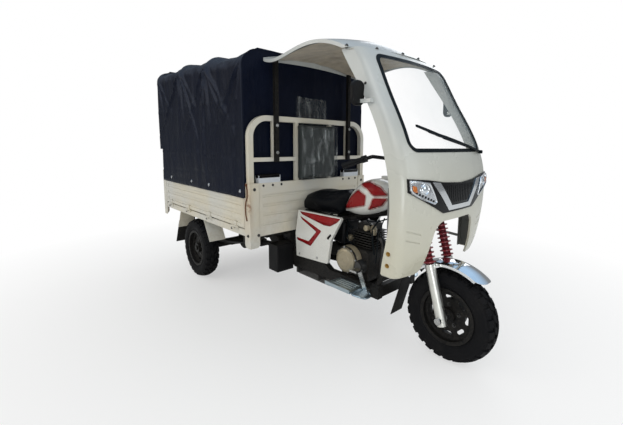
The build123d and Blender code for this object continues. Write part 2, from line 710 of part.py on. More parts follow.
with BuildPart() as windshield:
    add(glass_outline)
    add(glass_outer, mode=Mode.INTERSECT)
    add(glass_inner, mode=Mode.SUBTRACT)
windshield.part.label = "windshield"
export_step(windshield.part, "parts/windshield.step")

# Dark nose mask, head lamps, bright grille strip and wiper, each a layer over the shell
mask_inner = cab_form(-MASK_GAP, 0)
mask_outer = cab_form(-MASK_GAP - MASK_T, 0)
lamp_inner = cab_form(-2 * MASK_GAP - MASK_T, 0)
lamp_outer = cab_form(-2 * MASK_GAP - MASK_T - LAMP_T, 0)
wiper_outer = cab_form(-16, 0)
wiper_inner = cab_form(-6, 0)
MASK_OUTLINE = (
    (-446, 1118), (-446, 1050), (-258, 962), (-170, 920), (170, 920), (258, 962),
    (446, 1050), (446, 1118), (300, 1106), (170, 1088), (0, 1078), (-170, 1088), (-300, 1106),
)
mask_prism = front_prism(MASK_OUTLINE, 0)
with BuildPart() as nose_mask:
    add(mask_prism)
    add(mask_outer, mode=Mode.INTERSECT)
    add(mask_inner, mode=Mode.SUBTRACT)
nose_mask.part.label = "nose_mask"
export_step(nose_mask.part, "parts/nose_mask.step")

LAMP_OUTLINE = (
    (440, 1111), (440, 1060), (428, 1043), (362, 1012), (258, 976),
    (238, 988), (268, 1043), (298, 1093), (390, 1107),
)
lamp_prism_left = front_prism(LAMP_OUTLINE, 0)
lamp_prism_right = mirror(lamp_prism_left, about=Plane.XZ)
with BuildPart() as headlamps:
    add(lamp_prism_left)
    add(lamp_prism_right)
    add(lamp_outer, mode=Mode.INTERSECT)
    add(lamp_inner, mode=Mode.SUBTRACT)
headlamps.part.label = "headlamps"
export_step(headlamps.part, "parts/headlamps.step")

STRIP_OUTLINE = (
    (-280, 1095), (-125, 932), (125, 932), (280, 1095),
    (214, 1089), (98, 958), (-98, 958), (-214, 1089),
)
strip_prism = front_prism(STRIP_OUTLINE, 0)
with BuildPart() as grille_strip:
    add(strip_prism)
    add(lamp_outer, mode=Mode.INTERSECT)
    add(lamp_inner, mode=Mode.SUBTRACT)
grille_strip.part.label = "grille_strip"
export_step(grille_strip.part, "parts/grille_strip.step")

WIPER_PIVOT = (1343, 352, 1246)
WIPER_OUTLINE = ((356, 1252), (350, 1242), (-145, 1330), (-302, 1378), (-298, 1390), (-138, 1348))
wiper_prism = front_prism(WIPER_OUTLINE, 0)
with BuildPart() as wiper:
    add(wiper_prism)
    add(wiper_outer, mode=Mode.INTERSECT)
    add(wiper_inner, mode=Mode.SUBTRACT)
    with Locations(WIPER_PIVOT):
        Cylinder(11, 60, rotation=(0, 90, 0))
    add(seal_outer, mode=Mode.SUBTRACT)
wiper.part.label = "wiper"
export_step(wiper.part, "parts/wiper.step")

# Dark inner flanges of the leg shields, each on a stay from its down tube
with BuildPart() as cab_liner:
    for end in (-1, 1):
        with BuildSketch(Plane.XY.offset(LINER_LOW_Z)):
            with BuildLine():
                Polyline(
                    (LINER_BACK_X, end * (LINER_SIDE_Y - LINER_RETURN)), (LINER_BACK_X, end * LINER_SIDE_Y),
                    (LINER_FRONT_X, end * LINER_SIDE_Y), (LINER_FRONT_X, end * (LINER_SIDE_Y - LINER_T)),
                    (LINER_BACK_X + LINER_T, end * (LINER_SIDE_Y - LINER_T)),
                    (LINER_BACK_X + LINER_T, end * (LINER_SIDE_Y - LINER_RETURN)), close=True,
                )
            make_face()
        extrude(amount=LINER_TOP_Z - LINER_LOW_Z)
        for boss_x, boss_z in LINER_BOSSES:
            with Locations((boss_x, end * (LINER_SIDE_Y - 1 + BOSS_L / 2), boss_z)):
                Cylinder(BOSS_R, BOSS_L, rotation=(90, 0, 0))
        stay_in = Vector(STAY_IN[0], end * STAY_IN[1], STAY_IN[2])
        stay_out = Vector(LINER_BACK_X + LINER_T / 2, end * (LINER_SIDE_Y - LINER_RETURN / 2), STAY_OUT_Z)
        stay_way = stay_out - stay_in
        with BuildSketch(Plane(origin=stay_in, z_dir=stay_way)):
            Circle(STAY_R)
        extrude(amount=stay_way.length)
    add(cab_skin - cab_hollow, mode=Mode.SUBTRACT)
    add(riding_frame.part, mode=Mode.SUBTRACT)
cab_liner.part.label = "cab_liner"
export_step(cab_liner.part, "parts/cab_liner.step")

# Mirrors tucked behind the pillars, each on a short arm
MIRROR_AT = (1050.0, 484.0, 1554.0)
MIRROR_W = 92.0
MIRROR_H = 132.0
MIRROR_T = 32.0
MIRROR_ARM = (86.0, 30.0, 20.0)
with BuildPart() as mirrors:
    with BuildSketch(Plane.YZ.offset(MIRROR_AT[0] - MIRROR_T / 2)):
        with Locations((-MIRROR_AT[1], MIRROR_AT[2]), (MIRROR_AT[1], MIRROR_AT[2])):
            RectangleRounded(MIRROR_W, MIRROR_H, 38)
    extrude(amount=MIRROR_T)
    fillet(mirrors.edges().filter_by(GeomType.LINE, reverse=True), 11)
    for end in (-1, 1):
        with Locations((MIRROR_AT[0] + MIRROR_ARM[0] / 2, end * (MIRROR_AT[1] - 20), MIRROR_AT[2] - 42)):
            Box(*MIRROR_ARM)
    add(mask_inner, mode=Mode.SUBTRACT)
mirrors.part.label = "mirrors"
export_step(mirrors.part, "parts/mirrors.step")


# Roof: a shallow moulded tray from the cab top back to the load box
def roof_form(inset, rear_x, front_reach):
    with BuildPart() as form:
        last = len(ROOF_RIBS) - 1
        for number, row in enumerate(ROOF_RIBS):
            station = rear_x if number == 0 else row.x + (front_reach if number == last else 0)
            half_w = row.half_w - inset
            edge = row.z_edge - inset
            low = row.z_edge - ROOF_LIP - 3 * inset
            with BuildSketch(Plane.YZ.offset(station)):
                with BuildLine():
                    Line((-half_w, low), (-half_w, edge))
                    ThreePointArc((-half_w, edge), (0, row.z_crown - inset), (half_w, edge))
                    Line((half_w, edge), (half_w, low))
                    ThreePointArc((half_w, low), (0, low + ROOF_LIP), (-half_w, low))
                make_face()
        loft()
    return form.part


roof_outer = roof_form(0, ROOF_RIBS[0].x, 0)
roof_inner = roof_form(ROOF_T, ROOF_RIBS[0].x + ROOF_T, -ROOF_NOSE_T)
with BuildPart() as cab_roof:
    add(roof_outer)
    add(roof_inner, mode=Mode.SUBTRACT)
    with Locations((600, 0, CAB_TOP_Z - 150 + FIT_GAP)):
        Box(1200, 1200, 300, mode=Mode.SUBTRACT)
cab_roof.part.label = "cab_roof"
export_step(cab_roof.part, "parts/cab_roof.step")

# Roof posts on the front face of the headboard arch
POST_X = FRONT_ARCH_X + ARCH_TUBE / 2 + FIT_GAP + ROOF_POST / 2
roof_clear = roof_form(ROOF_T + FIT_GAP, ROOF_RIBS[0].x + ROOF_T + FIT_GAP, 40)
post_spots = ((POST_X, -ROOF_POST_Y), (POST_X, ROOF_POST_Y))
with BuildPart() as roof_posts:
    with BuildSketch(Plane.XY.offset(ROOF_POST_JOIN_Z)):
        with Locations(*post_spots):
            Rectangle(ROOF_POST, ROOF_POST)
    extrude(amount=100)
    add(roof_clear, mode=Mode.INTERSECT)
    with BuildSketch(Plane.XY.offset(ROOF_POST_LOW_Z)):
        with Locations(*post_spots):
            Rectangle(ROOF_POST, ROOF_POST)
    extrude(amount=ROOF_POST_JOIN_Z - ROOF_POST_LOW_Z)
roof_posts.part.label = "roof_posts"
export_step(roof_posts.part, "parts/roof_posts.step")

# Load floor: slab, sills, lengthwise ribs, raised deck and the fixed hinge lugs
SLAB_LENGTH = SLAB_FRONT_X - BOX_REAR_X
SLAB_MID_X = (SLAB_FRONT_X + BOX_REAR_X) / 2
DECK_REAR_X = BOX_REAR_X + 51
DECK_FRONT_X = SLAB_FRONT_X - 19
HINGE_Y = BOX_HALF_W + HINGE_OUT
HINGE_X = BOX_REAR_X - HINGE_OUT
LUG_PITCH = KNUCKLE_L / 2 + LUG_GAP + LUG_L / 2
GATE_FRONT_X = BOX_FRONT_X + POST_T - POST_W - GATE_END_GAP
GATE_REAR_X = BOX_REAR_X - POST_T + POST_W + GATE_END_GAP
TAIL_HALF_W = ARCH_LEG_Y - ARCH_TUBE / 2 - GATE_END_GAP
HINGE_STEP = (GATE_FRONT_X - GATE_REAR_X - 2 * HINGE_MARGIN) / (SIDE_HINGES - 1)
SIDE_HINGE_X = [GATE_REAR_X + HINGE_MARGIN + number * HINGE_STEP for number in range(SIDE_HINGES)]
TAIL_HINGE_STEP = 2 * (TAIL_HALF_W - TAIL_HINGE_MARGIN) / (TAIL_HINGES - 1)
TAIL_HINGE_Y = [TAIL_HINGE_MARGIN - TAIL_HALF_W + number * TAIL_HINGE_STEP for number in range(TAIL_HINGES)]
with BuildPart() as load_floor:
    with Locations((SLAB_MID_X, 0, SLAB_Z - 10)):
        Box(SLAB_LENGTH, 2 * SLAB_HALF_W, 20)
    with Locations((SLAB_MID_X, 0, (SILL_Z + SLAB_Z) / 2)):
        Box(SLAB_LENGTH, 2 * SLAB_HALF_W, SLAB_Z - SILL_Z)
        Box(
            SLAB_LENGTH - 2 * SILL_W, 2 * (SLAB_HALF_W - SILL_W), SLAB_Z - SILL_Z, mode=Mode.SUBTRACT
        )
    with Locations((SLAB_MID_X, 0, SLAB_Z - 10)):
        Box(SLAB_LENGTH, 2 * SLAB_HALF_W, 20)
    for rib_y in (-SPRING_Y, -150, 150, SPRING_Y):
        with Locations((SLAB_MID_X, rib_y, SILL_Z + 15)):
            Box(SLAB_LENGTH - 2 * SILL_W, 60, 30)
    with Locations(((DECK_REAR_X + DECK_FRONT_X) / 2, 0, (SLAB_Z + DECK_Z) / 2)):
        Box(DECK_FRONT_X - DECK_REAR_X, 2 * (SLAB_HALF_W - 45), DECK_Z - SLAB_Z)
    for end in (-1, 1):
        for hinge_x in SIDE_HINGE_X:
            for lug in (-1, 1):
                lug_x = hinge_x + lug * LUG_PITCH
                with Locations((lug_x, end * HINGE_Y, HINGE_Z)):
                    Cylinder(HINGE_R, LUG_L, rotation=(0, 90, 0))
                with Locations((lug_x, end * (SLAB_HALF_W + HINGE_Y) / 2, HINGE_Z - 14)):
                    Box(LUG_L, HINGE_Y - SLAB_HALF_W, 18)
            with Locations((hinge_x, end * HINGE_Y, HINGE_Z)):
                Cylinder(HINGE_PIN_R, KNUCKLE_L + 2, rotation=(0, 90, 0))
    for hinge_y in TAIL_HINGE_Y:
        for lug in (-1, 1):
            lug_y = hinge_y + lug * LUG_PITCH
            with Locations((HINGE_X, lug_y, HINGE_Z)):
                Cylinder(HINGE_R, LUG_L, rotation=(90, 0, 0))
            with Locations(((BOX_REAR_X + HINGE_X) / 2, lug_y, HINGE_Z - 14)):
                Box(HINGE_OUT, LUG_L, 18)
        with Locations((HINGE_X, hinge_y, HINGE_Z)):
            Cylinder(HINGE_PIN_R, KNUCKLE_L + 2, rotation=(90, 0, 0))
load_floor.part.label = "load_floor"
export_step(load_floor.part, "parts/load_floor.step")

# Headboard with pressed ribs
RIB_ROWS = (690.0, 760.0, 830.0, 900.0)
with BuildPart() as headboard:
    with Locations((BOX_FRONT_X - HEADBOARD_T / 2 + FIT_GAP / 2, 0, (SILL_Z + HEADBOARD_TOP_Z) / 2)):
        Box(HEADBOARD_T - FIT_GAP, 2 * (ARCH_LEG_Y - ARCH_TUBE / 2), HEADBOARD_TOP_Z - SILL_Z)
    for rib_z in RIB_ROWS:
        with Locations((BOX_FRONT_X, 0, rib_z)):
            Box(10, 2 * (ARCH_LEG_Y - 90), 22, mode=Mode.SUBTRACT)
headboard.part.label = "headboard"
export_step(headboard.part, "parts/headboard.step")

# Corner posts: bent plates that wrap the four corners of the box
with BuildPart() as corner_posts:
    for end in (-1, 1):
        for face_x, run, face_w in (
            (BOX_FRONT_X + POST_T / 2, -1, POST_W), (BOX_REAR_X - POST_T / 2, 1, POST_REAR_W),
        ):
            post_h = POST_TOP_Z - POST_BOTTOM_Z
            mid_z = (POST_TOP_Z + POST_BOTTOM_Z) / 2
            with Locations((face_x, end * (BOX_HALF_W - face_w / 2), mid_z)):
                Box(POST_T, face_w, post_h)
            with Locations((face_x + run * (POST_W - POST_T) / 2, end * (BOX_HALF_W - POST_T / 2), mid_z)):
                Box(POST_W, POST_T, post_h)
    short_edges = corner_posts.edges().filter_by(lambda e: e.length < POST_T + 0.1)
    low_edges = [e for e in short_edges if e.center().Z < POST_BOTTOM_Z + 1]
    corner_x = (BOX_FRONT_X + POST_T / 2, BOX_REAR_X - POST_T / 2)
    inner_y = BOX_HALF_W - POST_T - 5
    fillet(
        [e for e in low_edges if abs(e.center().Y) < inner_y or e.center().X not in corner_x], 30
    )
corner_posts.part.label = "corner_posts"
export_step(corner_posts.part, "parts/corner_posts.step")


# Arches over the headboard and over the tail
def arch_band(x, half_t):
    leg_in = ARCH_LEG_Y - ARCH_TUBE / 2
    leg_out = ARCH_LEG_Y + ARCH_TUBE / 2
    with BuildPart() as band:
        with BuildSketch(Plane.YZ.offset(x - half_t)) as band_face:
            with Locations((0, (SLAB_Z + ARCH_TOP_Z) / 2)):
                Rectangle(2 * leg_out, ARCH_TOP_Z - SLAB_Z)
            fillet(band_face.vertices().group_by(Axis.Y)[-1], ARCH_BEND_R + ARCH_TUBE)
        extrude(amount=2 * half_t)
        with BuildSketch(Plane.YZ.offset(x - half_t)) as hole_face:
            with Locations((0, (SLAB_Z + ARCH_TOP_Z - ARCH_TUBE) / 2)):
                Rectangle(2 * leg_in, ARCH_TOP_Z - ARCH_TUBE - SLAB_Z)
            fillet(hole_face.vertices().group_by(Axis.Y)[-1], ARCH_BEND_R)
        extrude(amount=2 * half_t, mode=Mode.SUBTRACT)
    return band.part


front_band = arch_band(FRONT_ARCH_X, ARCH_TUBE / 2)
rear_band = arch_band(REAR_ARCH_X, ARCH_TUBE / 2)
ARCH_BAR_X = FRONT_ARCH_X + (ARCH_TUBE - ARCH_BAR) / 2
with BuildPart() as headboard_arch:
    add(front_band)
    with Locations((ARCH_BAR_X, 0, ARCH_MID_Z)):
        Box(ARCH_BAR, 2 * ARCH_LEG_Y - ARCH_TUBE + 4, ARCH_BAR)
    for end in (-1, 1):
        with Locations((ARCH_BAR_X, end * ARCH_POST_Y, (ARCH_MID_Z + ARCH_TOP_Z) / 2)):
            Box(ARCH_BAR, ARCH_BAR, ARCH_TOP_Z - ARCH_MID_Z - ARCH_TUBE / 2)
        with Locations((ARCH_BAR_X, end * ARCH_INNER_Y, (HEADBOARD_TOP_Z + ARCH_TOP_Z - 20) / 2)):
            Box(ARCH_BAR, ARCH_BAR, ARCH_TOP_Z - 20 - HEADBOARD_TOP_Z)
headboard_arch.part.label = "headboard_arch"
export_step(headboard_arch.part, "parts/headboard_arch.step")

with BuildPart() as rear_arch:
    add(rear_band)
rear_arch.part.label = "rear_arch"
export_step(rear_arch.part, "parts/rear_arch.step")

# Canvas cover: a sewn tunnel with a closed front and a framed tail mouth
Bow = namedtuple("Bow", "x z_top")
BOW_HEIGHTS = (1965.0, 2004.0, 2034.0, 2042.0)
BOW_FRONT_X = TARP_FRONT_X - TARP_T - BOW_R - FIT_GAP
BOW_REAR_X = REAR_ARCH_X + ARCH_TUBE / 2 + 20
BOW_STEP = (BOW_REAR_X - BOW_FRONT_X) / (len(BOW_HEIGHTS) - 1)
BOWS = [Bow(BOW_FRONT_X + number * BOW_STEP, height) for number, height in enumerate(BOW_HEIGHTS)]


def tarp_form(inset, front_x, rear_x, low_z):
    stations = [Bow(front_x, BOWS[0].z_top), BOWS[1], BOWS[2], Bow(rear_x, BOWS[3].z_top)]
    with BuildPart() as form:
        for row in stations:
            half_w = TARP_HALF_W - inset
            radius = TARP_SHOULDER_R - inset
            side_top = row.z_top - inset - TARP_CROWN
            with BuildSketch(Plane.YZ.offset(row.x)) as bow_face:
                with BuildLine():
                    Line((-half_w, low_z), (-half_w, side_top))
                    ThreePointArc((-half_w, side_top), (0, side_top + TARP_CROWN), (half_w, side_top))
                    Line((half_w, side_top), (half_w, low_z))
                    Line((half_w, low_z), (-half_w, low_z))
                make_face()
                fillet([v for v in bow_face.vertices() if v.Y > low_z + 1], radius)
        loft(ruled=True)
    return form.part


tarp_outer = tarp_form(0, TARP_FRONT_X, TARP_REAR_X, HEM_Z)
tarp_inner = tarp_form(TARP_T, TARP_FRONT_X - TARP_T, TARP_REAR_X + TARP_T, HEM_Z - 10)
with BuildPart() as tarp:
    add(tarp_outer)
    add(tarp_inner, mode=Mode.SUBTRACT)
    with Locations((TARP_REAR_X, 0, (HEM_Z + TARP_MOUTH_TOP_Z) / 2 - 10)):
        Box(40, 2 * TARP_MOUTH_HALF_W, TARP_MOUTH_TOP_Z - HEM_Z + 20, mode=Mode.SUBTRACT)
    with Locations((TARP_REAR_CUT_X - 100, 0, TARP_REAR_CUT_Z - 250)):
        Box(200, 2000, 500, mode=Mode.SUBTRACT)
    for end in (-1, 1):
        with Locations((TARP_FRONT_X, end * (BOX_HALF_W - POST_T / 2), POST_TOP_Z - 60)):
            Box(40, POST_T + 1.4, 130, mode=Mode.SUBTRACT)
tarp.part.label = "tarp"
export_step(tarp.part, "parts/tarp.step")

# Bows and side purlins under the canvas
PURLIN_LENGTH = TARP_FRONT_X - TARP_T - FIT_GAP - REAR_ARCH_X - ARCH_TUBE / 2
with BuildPart() as canopy_frame:
    for end in (-1, 1):
        with BuildSketch(Plane.YZ.offset(REAR_ARCH_X + ARCH_TUBE / 2)):
            with Locations((end * PURLIN_Y, PURLIN_Z)):
                Circle(BOW_R)
        extrude(amount=PURLIN_LENGTH)
    for bow in BOWS:
        bow_top = bow.z_top - TARP_T - BOW_R - TARP_CROWN - 2
        bow_r = TARP_SHOULDER_R - TARP_T - BOW_R - BOW_CLEAR
        with BuildLine(Plane.YZ.offset(bow.x)):
            bow_line = FilletPolyline(
                (-BOW_Y, PURLIN_Z), (-BOW_Y, bow_top), (0, bow_top + TARP_CROWN), (BOW_Y, bow_top),
                (BOW_Y, PURLIN_Z), radius=bow_r,
            )
        with BuildSketch(Plane(origin=(bow.x, -BOW_Y, PURLIN_Z), z_dir=(0, 0, 1))):
            Circle(BOW_R)
        sweep()
canopy_frame.part.label = "canopy_frame"
export_step(canopy_frame.part, "parts/canopy_frame.step")

# Backrest pad on the arch
with BuildPart() as backrest:
    pad_x = FRONT_ARCH_X + ARCH_TUBE / 2 + FIT_GAP + BACKREST_T / 2
    with Locations((pad_x, 0, (BACKREST_LOW_Z + BACKREST_TOP_Z) / 2)):
        Box(BACKREST_T, 2 * BACKREST_HALF_W, BACKREST_TOP_Z - BACKREST_LOW_Z)
    fillet(backrest.faces().sort_by(Axis.X)[-1].edges(), 22)
backrest.part.label = "backrest"
export_step(backrest.part, "parts/backrest.step")

# Marker lamps on the headboard
LAMP_Y = BOX_HALF_W - 175
with BuildPart() as marker_lamps:
    for end in (-1, 1):
        with Locations((BOX_FRONT_X - 22, end * LAMP_Y, HEADBOARD_TOP_Z + 31)):
            Box(44, 190, 62)
    fillet(marker_lamps.faces().sort_by(Axis.Z)[-2:].edges(), 12)
marker_lamps.part.label = "marker_lamps"
export_step(marker_lamps.part, "parts/marker_lamps.step")

# Mudguard plates ahead of and behind each rear wheel, with a rubber flap behind
GUARD_W = 150.0
GUARD_OUT_Y = SLAB_HALF_W - 5
GUARD_IN_Y = GUARD_OUT_Y - GUARD_W
GUARD_T = 6.0
GUARD_FRONT_X = REAR_AXLE_X + 248
GUARD_REAR_X = REAR_AXLE_X - 300
GUARD_SLOPE = 110.0
GUARD_LOW_Z = 420.0
FLAP_LOW_Z = 250.0
FLAP_TOP_Z = 495.0
GUARD_PLATES = (
    (GUARD_FRONT_X, GUARD_FRONT_X + GUARD_SLOPE),
    (GUARD_REAR_X, GUARD_REAR_X - GUARD_SLOPE * 0.75),
)
with BuildPart() as mudguards:
    for end in (-1, 1):
        outer = GUARD_OUT_Y if end > 0 else -GUARD_IN_Y
        with BuildSketch(Plane.XZ.offset(-outer)):
            for top_x, low_x in GUARD_PLATES:
                with BuildLine():
                    Polyline(
                        (top_x, SILL_Z), (top_x + GUARD_T, SILL_Z), (low_x + GUARD_T, GUARD_LOW_Z),
                        (low_x, GUARD_LOW_Z), close=True,
                    )
                make_face()
        extrude(amount=GUARD_W)
mudguards.part.label = "mudguards"
export_step(mudguards.part, "parts/mudguards.step")

# Each flap lies against the back of its rear plate and hangs on below it in the same slope
FLAP_SLOPE = GUARD_SLOPE * 0.75 / (SILL_Z - GUARD_LOW_Z)
flap_top_x = GUARD_REAR_X - (SILL_Z - FLAP_TOP_Z) * FLAP_SLOPE - FIT_GAP
flap_low_x = GUARD_REAR_X - (SILL_Z - FLAP_LOW_Z) * FLAP_SLOPE - FIT_GAP
with BuildPart() as mud_flaps:
    for end in (-1, 1):
        outer = GUARD_OUT_Y if end > 0 else -GUARD_IN_Y
        with BuildSketch(Plane.XZ.offset(-outer)):
            with BuildLine():
                Polyline(
                    (flap_top_x, FLAP_TOP_Z), (flap_low_x, FLAP_LOW_Z),
                    (flap_low_x - GUARD_T, FLAP_LOW_Z), (flap_top_x - GUARD_T, FLAP_TOP_Z), close=True,
                )
            make_face()
        extrude(amount=GUARD_W)
mud_flaps.part.label = "mud_flaps"
export_step(mud_flaps.part, "parts/mud_flaps.step")

# Tail lamps and the blank number plate bracket under the tail sill
with BuildPart() as tail_lamps:
    for end in (-1, 1):
        with Locations((BOX_REAR_X + 31, end * LAMP_Y, SILL_Z - 28)):
            Box(50, 130, 56)
    fillet(tail_lamps.edges().filter_by(Axis.X), 10)
tail_lamps.part.label = "tail_lamps"
export_step(tail_lamps.part, "parts/tail_lamps.step")

PLATE_X = BOX_REAR_X + 6
PLATE_HOLE_R = 3.5
PLATE_HOLE_Y = 70.0
PLATE_HOLE_Z = 552.0
with BuildPart() as plate_bracket:
    with Locations((PLATE_X + 2.5, 0, SILL_Z - 50)):
        Box(5, 230, 100)
    with Locations((PLATE_X + 15, 0, SILL_Z - 2.5)):
        Box(30, 230, 5)
    with BuildSketch(Plane.YZ.offset(PLATE_X)):
        with Locations((-PLATE_HOLE_Y, PLATE_HOLE_Z), (PLATE_HOLE_Y, PLATE_HOLE_Z)):
            Circle(PLATE_HOLE_R)
    extrude(amount=5, mode=Mode.SUBTRACT)
plate_bracket.part.label = "plate_bracket"
export_step(plate_bracket.part, "parts/plate_bracket.step")

# Drop gates with pressed ribs and hinge knuckles
GATE_RIB_ROWS = (705.0, 773.0, 841.0)
for name, end in (("gate_right", -1), ("gate_left", 1)):
    with BuildPart() as gate:
        with Locations(((GATE_FRONT_X + GATE_REAR_X) / 2, end * (BOX_HALF_W - GATE_T / 2), GATE_BOTTOM_Z)):
            Box(
                GATE_FRONT_X - GATE_REAR_X, GATE_T, GATE_TOP_Z - GATE_BOTTOM_Z,
                align=(Align.CENTER, Align.CENTER, Align.MIN),
            )
        for rib_z in GATE_RIB_ROWS:
            with Locations(((GATE_FRONT_X + GATE_REAR_X) / 2, end * BOX_HALF_W, rib_z)):
                Box(GATE_FRONT_X - GATE_REAR_X - 90, 12, 30, mode=Mode.SUBTRACT)
        for hinge_x in SIDE_HINGE_X:
            with Locations((hinge_x, end * HINGE_Y, HINGE_Z)):
                Cylinder(HINGE_R, KNUCKLE_L, rotation=(0, 90, 0))
            with Locations((hinge_x, end * (BOX_HALF_W + 2), HINGE_Z + 20)):
                Box(KNUCKLE_L, 8, 40)
            with Locations((hinge_x, end * (HINGE_Y - 3), HINGE_Z + 3)):
                Box(KNUCKLE_L, 6, 8)
            with Locations((hinge_x, end * HINGE_Y, HINGE_Z)):
                Cylinder(HINGE_PIN_R + RUNNING_GAP, KNUCKLE_L, rotation=(0, 90, 0), mode=Mode.SUBTRACT)
    gate.part.label = name
    export_step(gate.part, "parts/" + name + ".step")

with BuildPart() as tailgate:
    with Locations((BOX_REAR_X + GATE_T / 2, 0, GATE_BOTTOM_Z)):
        Box(
            GATE_T, 2 * TAIL_HALF_W, GATE_TOP_Z - GATE_BOTTOM_Z,
            align=(Align.CENTER, Align.CENTER, Align.MIN),
        )
    for rib_z in GATE_RIB_ROWS:
        with Locations((BOX_REAR_X, 0, rib_z)):
            Box(12, 2 * TAIL_HALF_W - 90, 30, mode=Mode.SUBTRACT)
    for hinge_y in TAIL_HINGE_Y:
        with Locations((HINGE_X, hinge_y, HINGE_Z)):
            Cylinder(HINGE_R, KNUCKLE_L, rotation=(90, 0, 0))
        with Locations((BOX_REAR_X - 2, hinge_y, HINGE_Z + 20)):
            Box(8, KNUCKLE_L, 40)
        with Locations((HINGE_X + 3, hinge_y, HINGE_Z + 3)):
            Box(6, KNUCKLE_L, 8)
        with Locations((HINGE_X, hinge_y, HINGE_Z)):
            Cylinder(HINGE_PIN_R + RUNNING_GAP, KNUCKLE_L, rotation=(90, 0, 0), mode=Mode.SUBTRACT)
tailgate.part.label = "tailgate"
export_step(tailgate.part, "parts/tailgate.step")

# Fork: yokes, stanchions and stem turn as one
with BuildPart() as fork_crown:
    for along in (LOWER_YOKE, UPPER_YOKE):
        with BuildSketch(STEER.offset(along)):
            Circle(30)
            with Locations((FORK_OFFSET, -FORK_Y), (FORK_OFFSET, FORK_Y)):
                Circle(27)
            make_hull()
        extrude(amount=YOKE_T)
    with BuildSketch(STEER.offset(LOWER_YOKE)):
        Circle(STEM_R)
    extrude(amount=UPPER_YOKE - LOWER_YOKE + YOKE_T)
    with BuildSketch(STEER.offset(SLIDER_TOP + FIT_GAP)):
        with Locations((FORK_OFFSET, -FORK_Y), (FORK_OFFSET, FORK_Y)):
            Circle(STANCHION_R)
    extrude(amount=UPPER_YOKE + YOKE_T - SLIDER_TOP)
    with BuildSketch(STEER.offset(UPPER_YOKE)):
        with Locations((0, -45), (0, 45)):
            Rectangle(36, 26)
    extrude(amount=BAR_ALONG - UPPER_YOKE + 18)
    bar_middle = STEER_ORIGIN + STEER_AXIS * BAR_ALONG
    with BuildSketch(Plane(origin=bar_middle - Vector(0, 90, 0), z_dir=(0, 1, 0))):
        Circle(BAR_R + RUNNING_GAP)
    extrude(amount=180, mode=Mode.SUBTRACT)
fork_crown.part.label = "fork_crown"
export_step(fork_crown.part, "parts/fork_crown.step")

with BuildPart() as fork_sliders:
    with BuildSketch(STEER.offset(SLIDER_LOW)):
        with Locations((FORK_OFFSET, -FORK_Y), (FORK_OFFSET, FORK_Y)):
            Circle(SLIDER_R)
    extrude(amount=SLIDER_TOP - SLIDER_LOW)
    with BuildSketch(Plane(origin=FRONT_AXLE - Vector(0, 200, 0), z_dir=(0, 1, 0))):
        Circle(AXLE_R + RUNNING_GAP)
    extrude(amount=400, mode=Mode.SUBTRACT)
fork_sliders.part.label = "fork_sliders"
export_step(fork_sliders.part, "parts/fork_sliders.step")

# Fork springs round the stanchions
COIL_TURNS = 9
SLEEVE_R = 23.0
COIL_LOW = SLIDER_TOP + 2 * FIT_GAP
COIL_HIGH = LOWER_YOKE - FIT_GAP
COIL_PITCH = (COIL_HIGH - COIL_LOW) / COIL_TURNS
with BuildPart() as fork_springs:
    for end in (-1, 1):
        leg_foot = STEER_ORIGIN + STEER_FORWARD * FORK_OFFSET + Vector(0, end * FORK_Y, 0)
        leg_plane = Plane(origin=leg_foot, x_dir=STEER_FORWARD, z_dir=(0, -1, 0))
        with BuildSketch(leg_plane):
            with Locations(((STANCHION_R + FIT_GAP + SLEEVE_R) / 2, (COIL_LOW + COIL_HIGH) / 2)):
                Rectangle(SLEEVE_R - STANCHION_R - FIT_GAP, COIL_HIGH - COIL_LOW)
            for turn in range(COIL_TURNS):
                with Locations(((SLEEVE_R - 1 + SPRING_COIL_R) / 2, COIL_LOW + COIL_PITCH * (turn + 0.5))):
                    Trapezoid(COIL_PITCH * 0.54, SPRING_COIL_R - SLEEVE_R + 1, 74, rotation=-90)
        revolve(axis=Axis(leg_foot, STEER_AXIS))
fork_springs.part.label = "fork_springs"
export_step(fork_springs.part, "parts/fork_springs.step")

# Front axle with its spacers and nuts
with BuildPart() as front_axle:
    with BuildSketch(Plane(origin=FRONT_AXLE - Vector(0, 142, 0), z_dir=(0, 1, 0))):
        Circle(AXLE_R)
    extrude(amount=284)
    inner = FORK_Y - SLIDER_R - FIT_GAP
    for start, stop in ((HUB_OUT + 1.5, inner), (FORK_Y + SLIDER_R + FIT_GAP, FORK_Y + SLIDER_R + 14)):
        with BuildSketch(Plane(origin=FRONT_AXLE - Vector(0, stop, 0), z_dir=(0, 1, 0))):
            Circle(AXLE_R + 8)
        extrude(amount=stop - start)
    for start, stop in ((HUB_IN + 1.5, inner), (FORK_Y + SLIDER_R + FIT_GAP, FORK_Y + SLIDER_R + 14)):
        with BuildSketch(Plane(origin=FRONT_AXLE + Vector(0, start, 0), z_dir=(0, 1, 0))):
            Circle(AXLE_R + 8)
        extrude(amount=stop - start)
front_axle.part.label = "front_axle"
export_step(front_axle.part, "parts/front_axle.step")

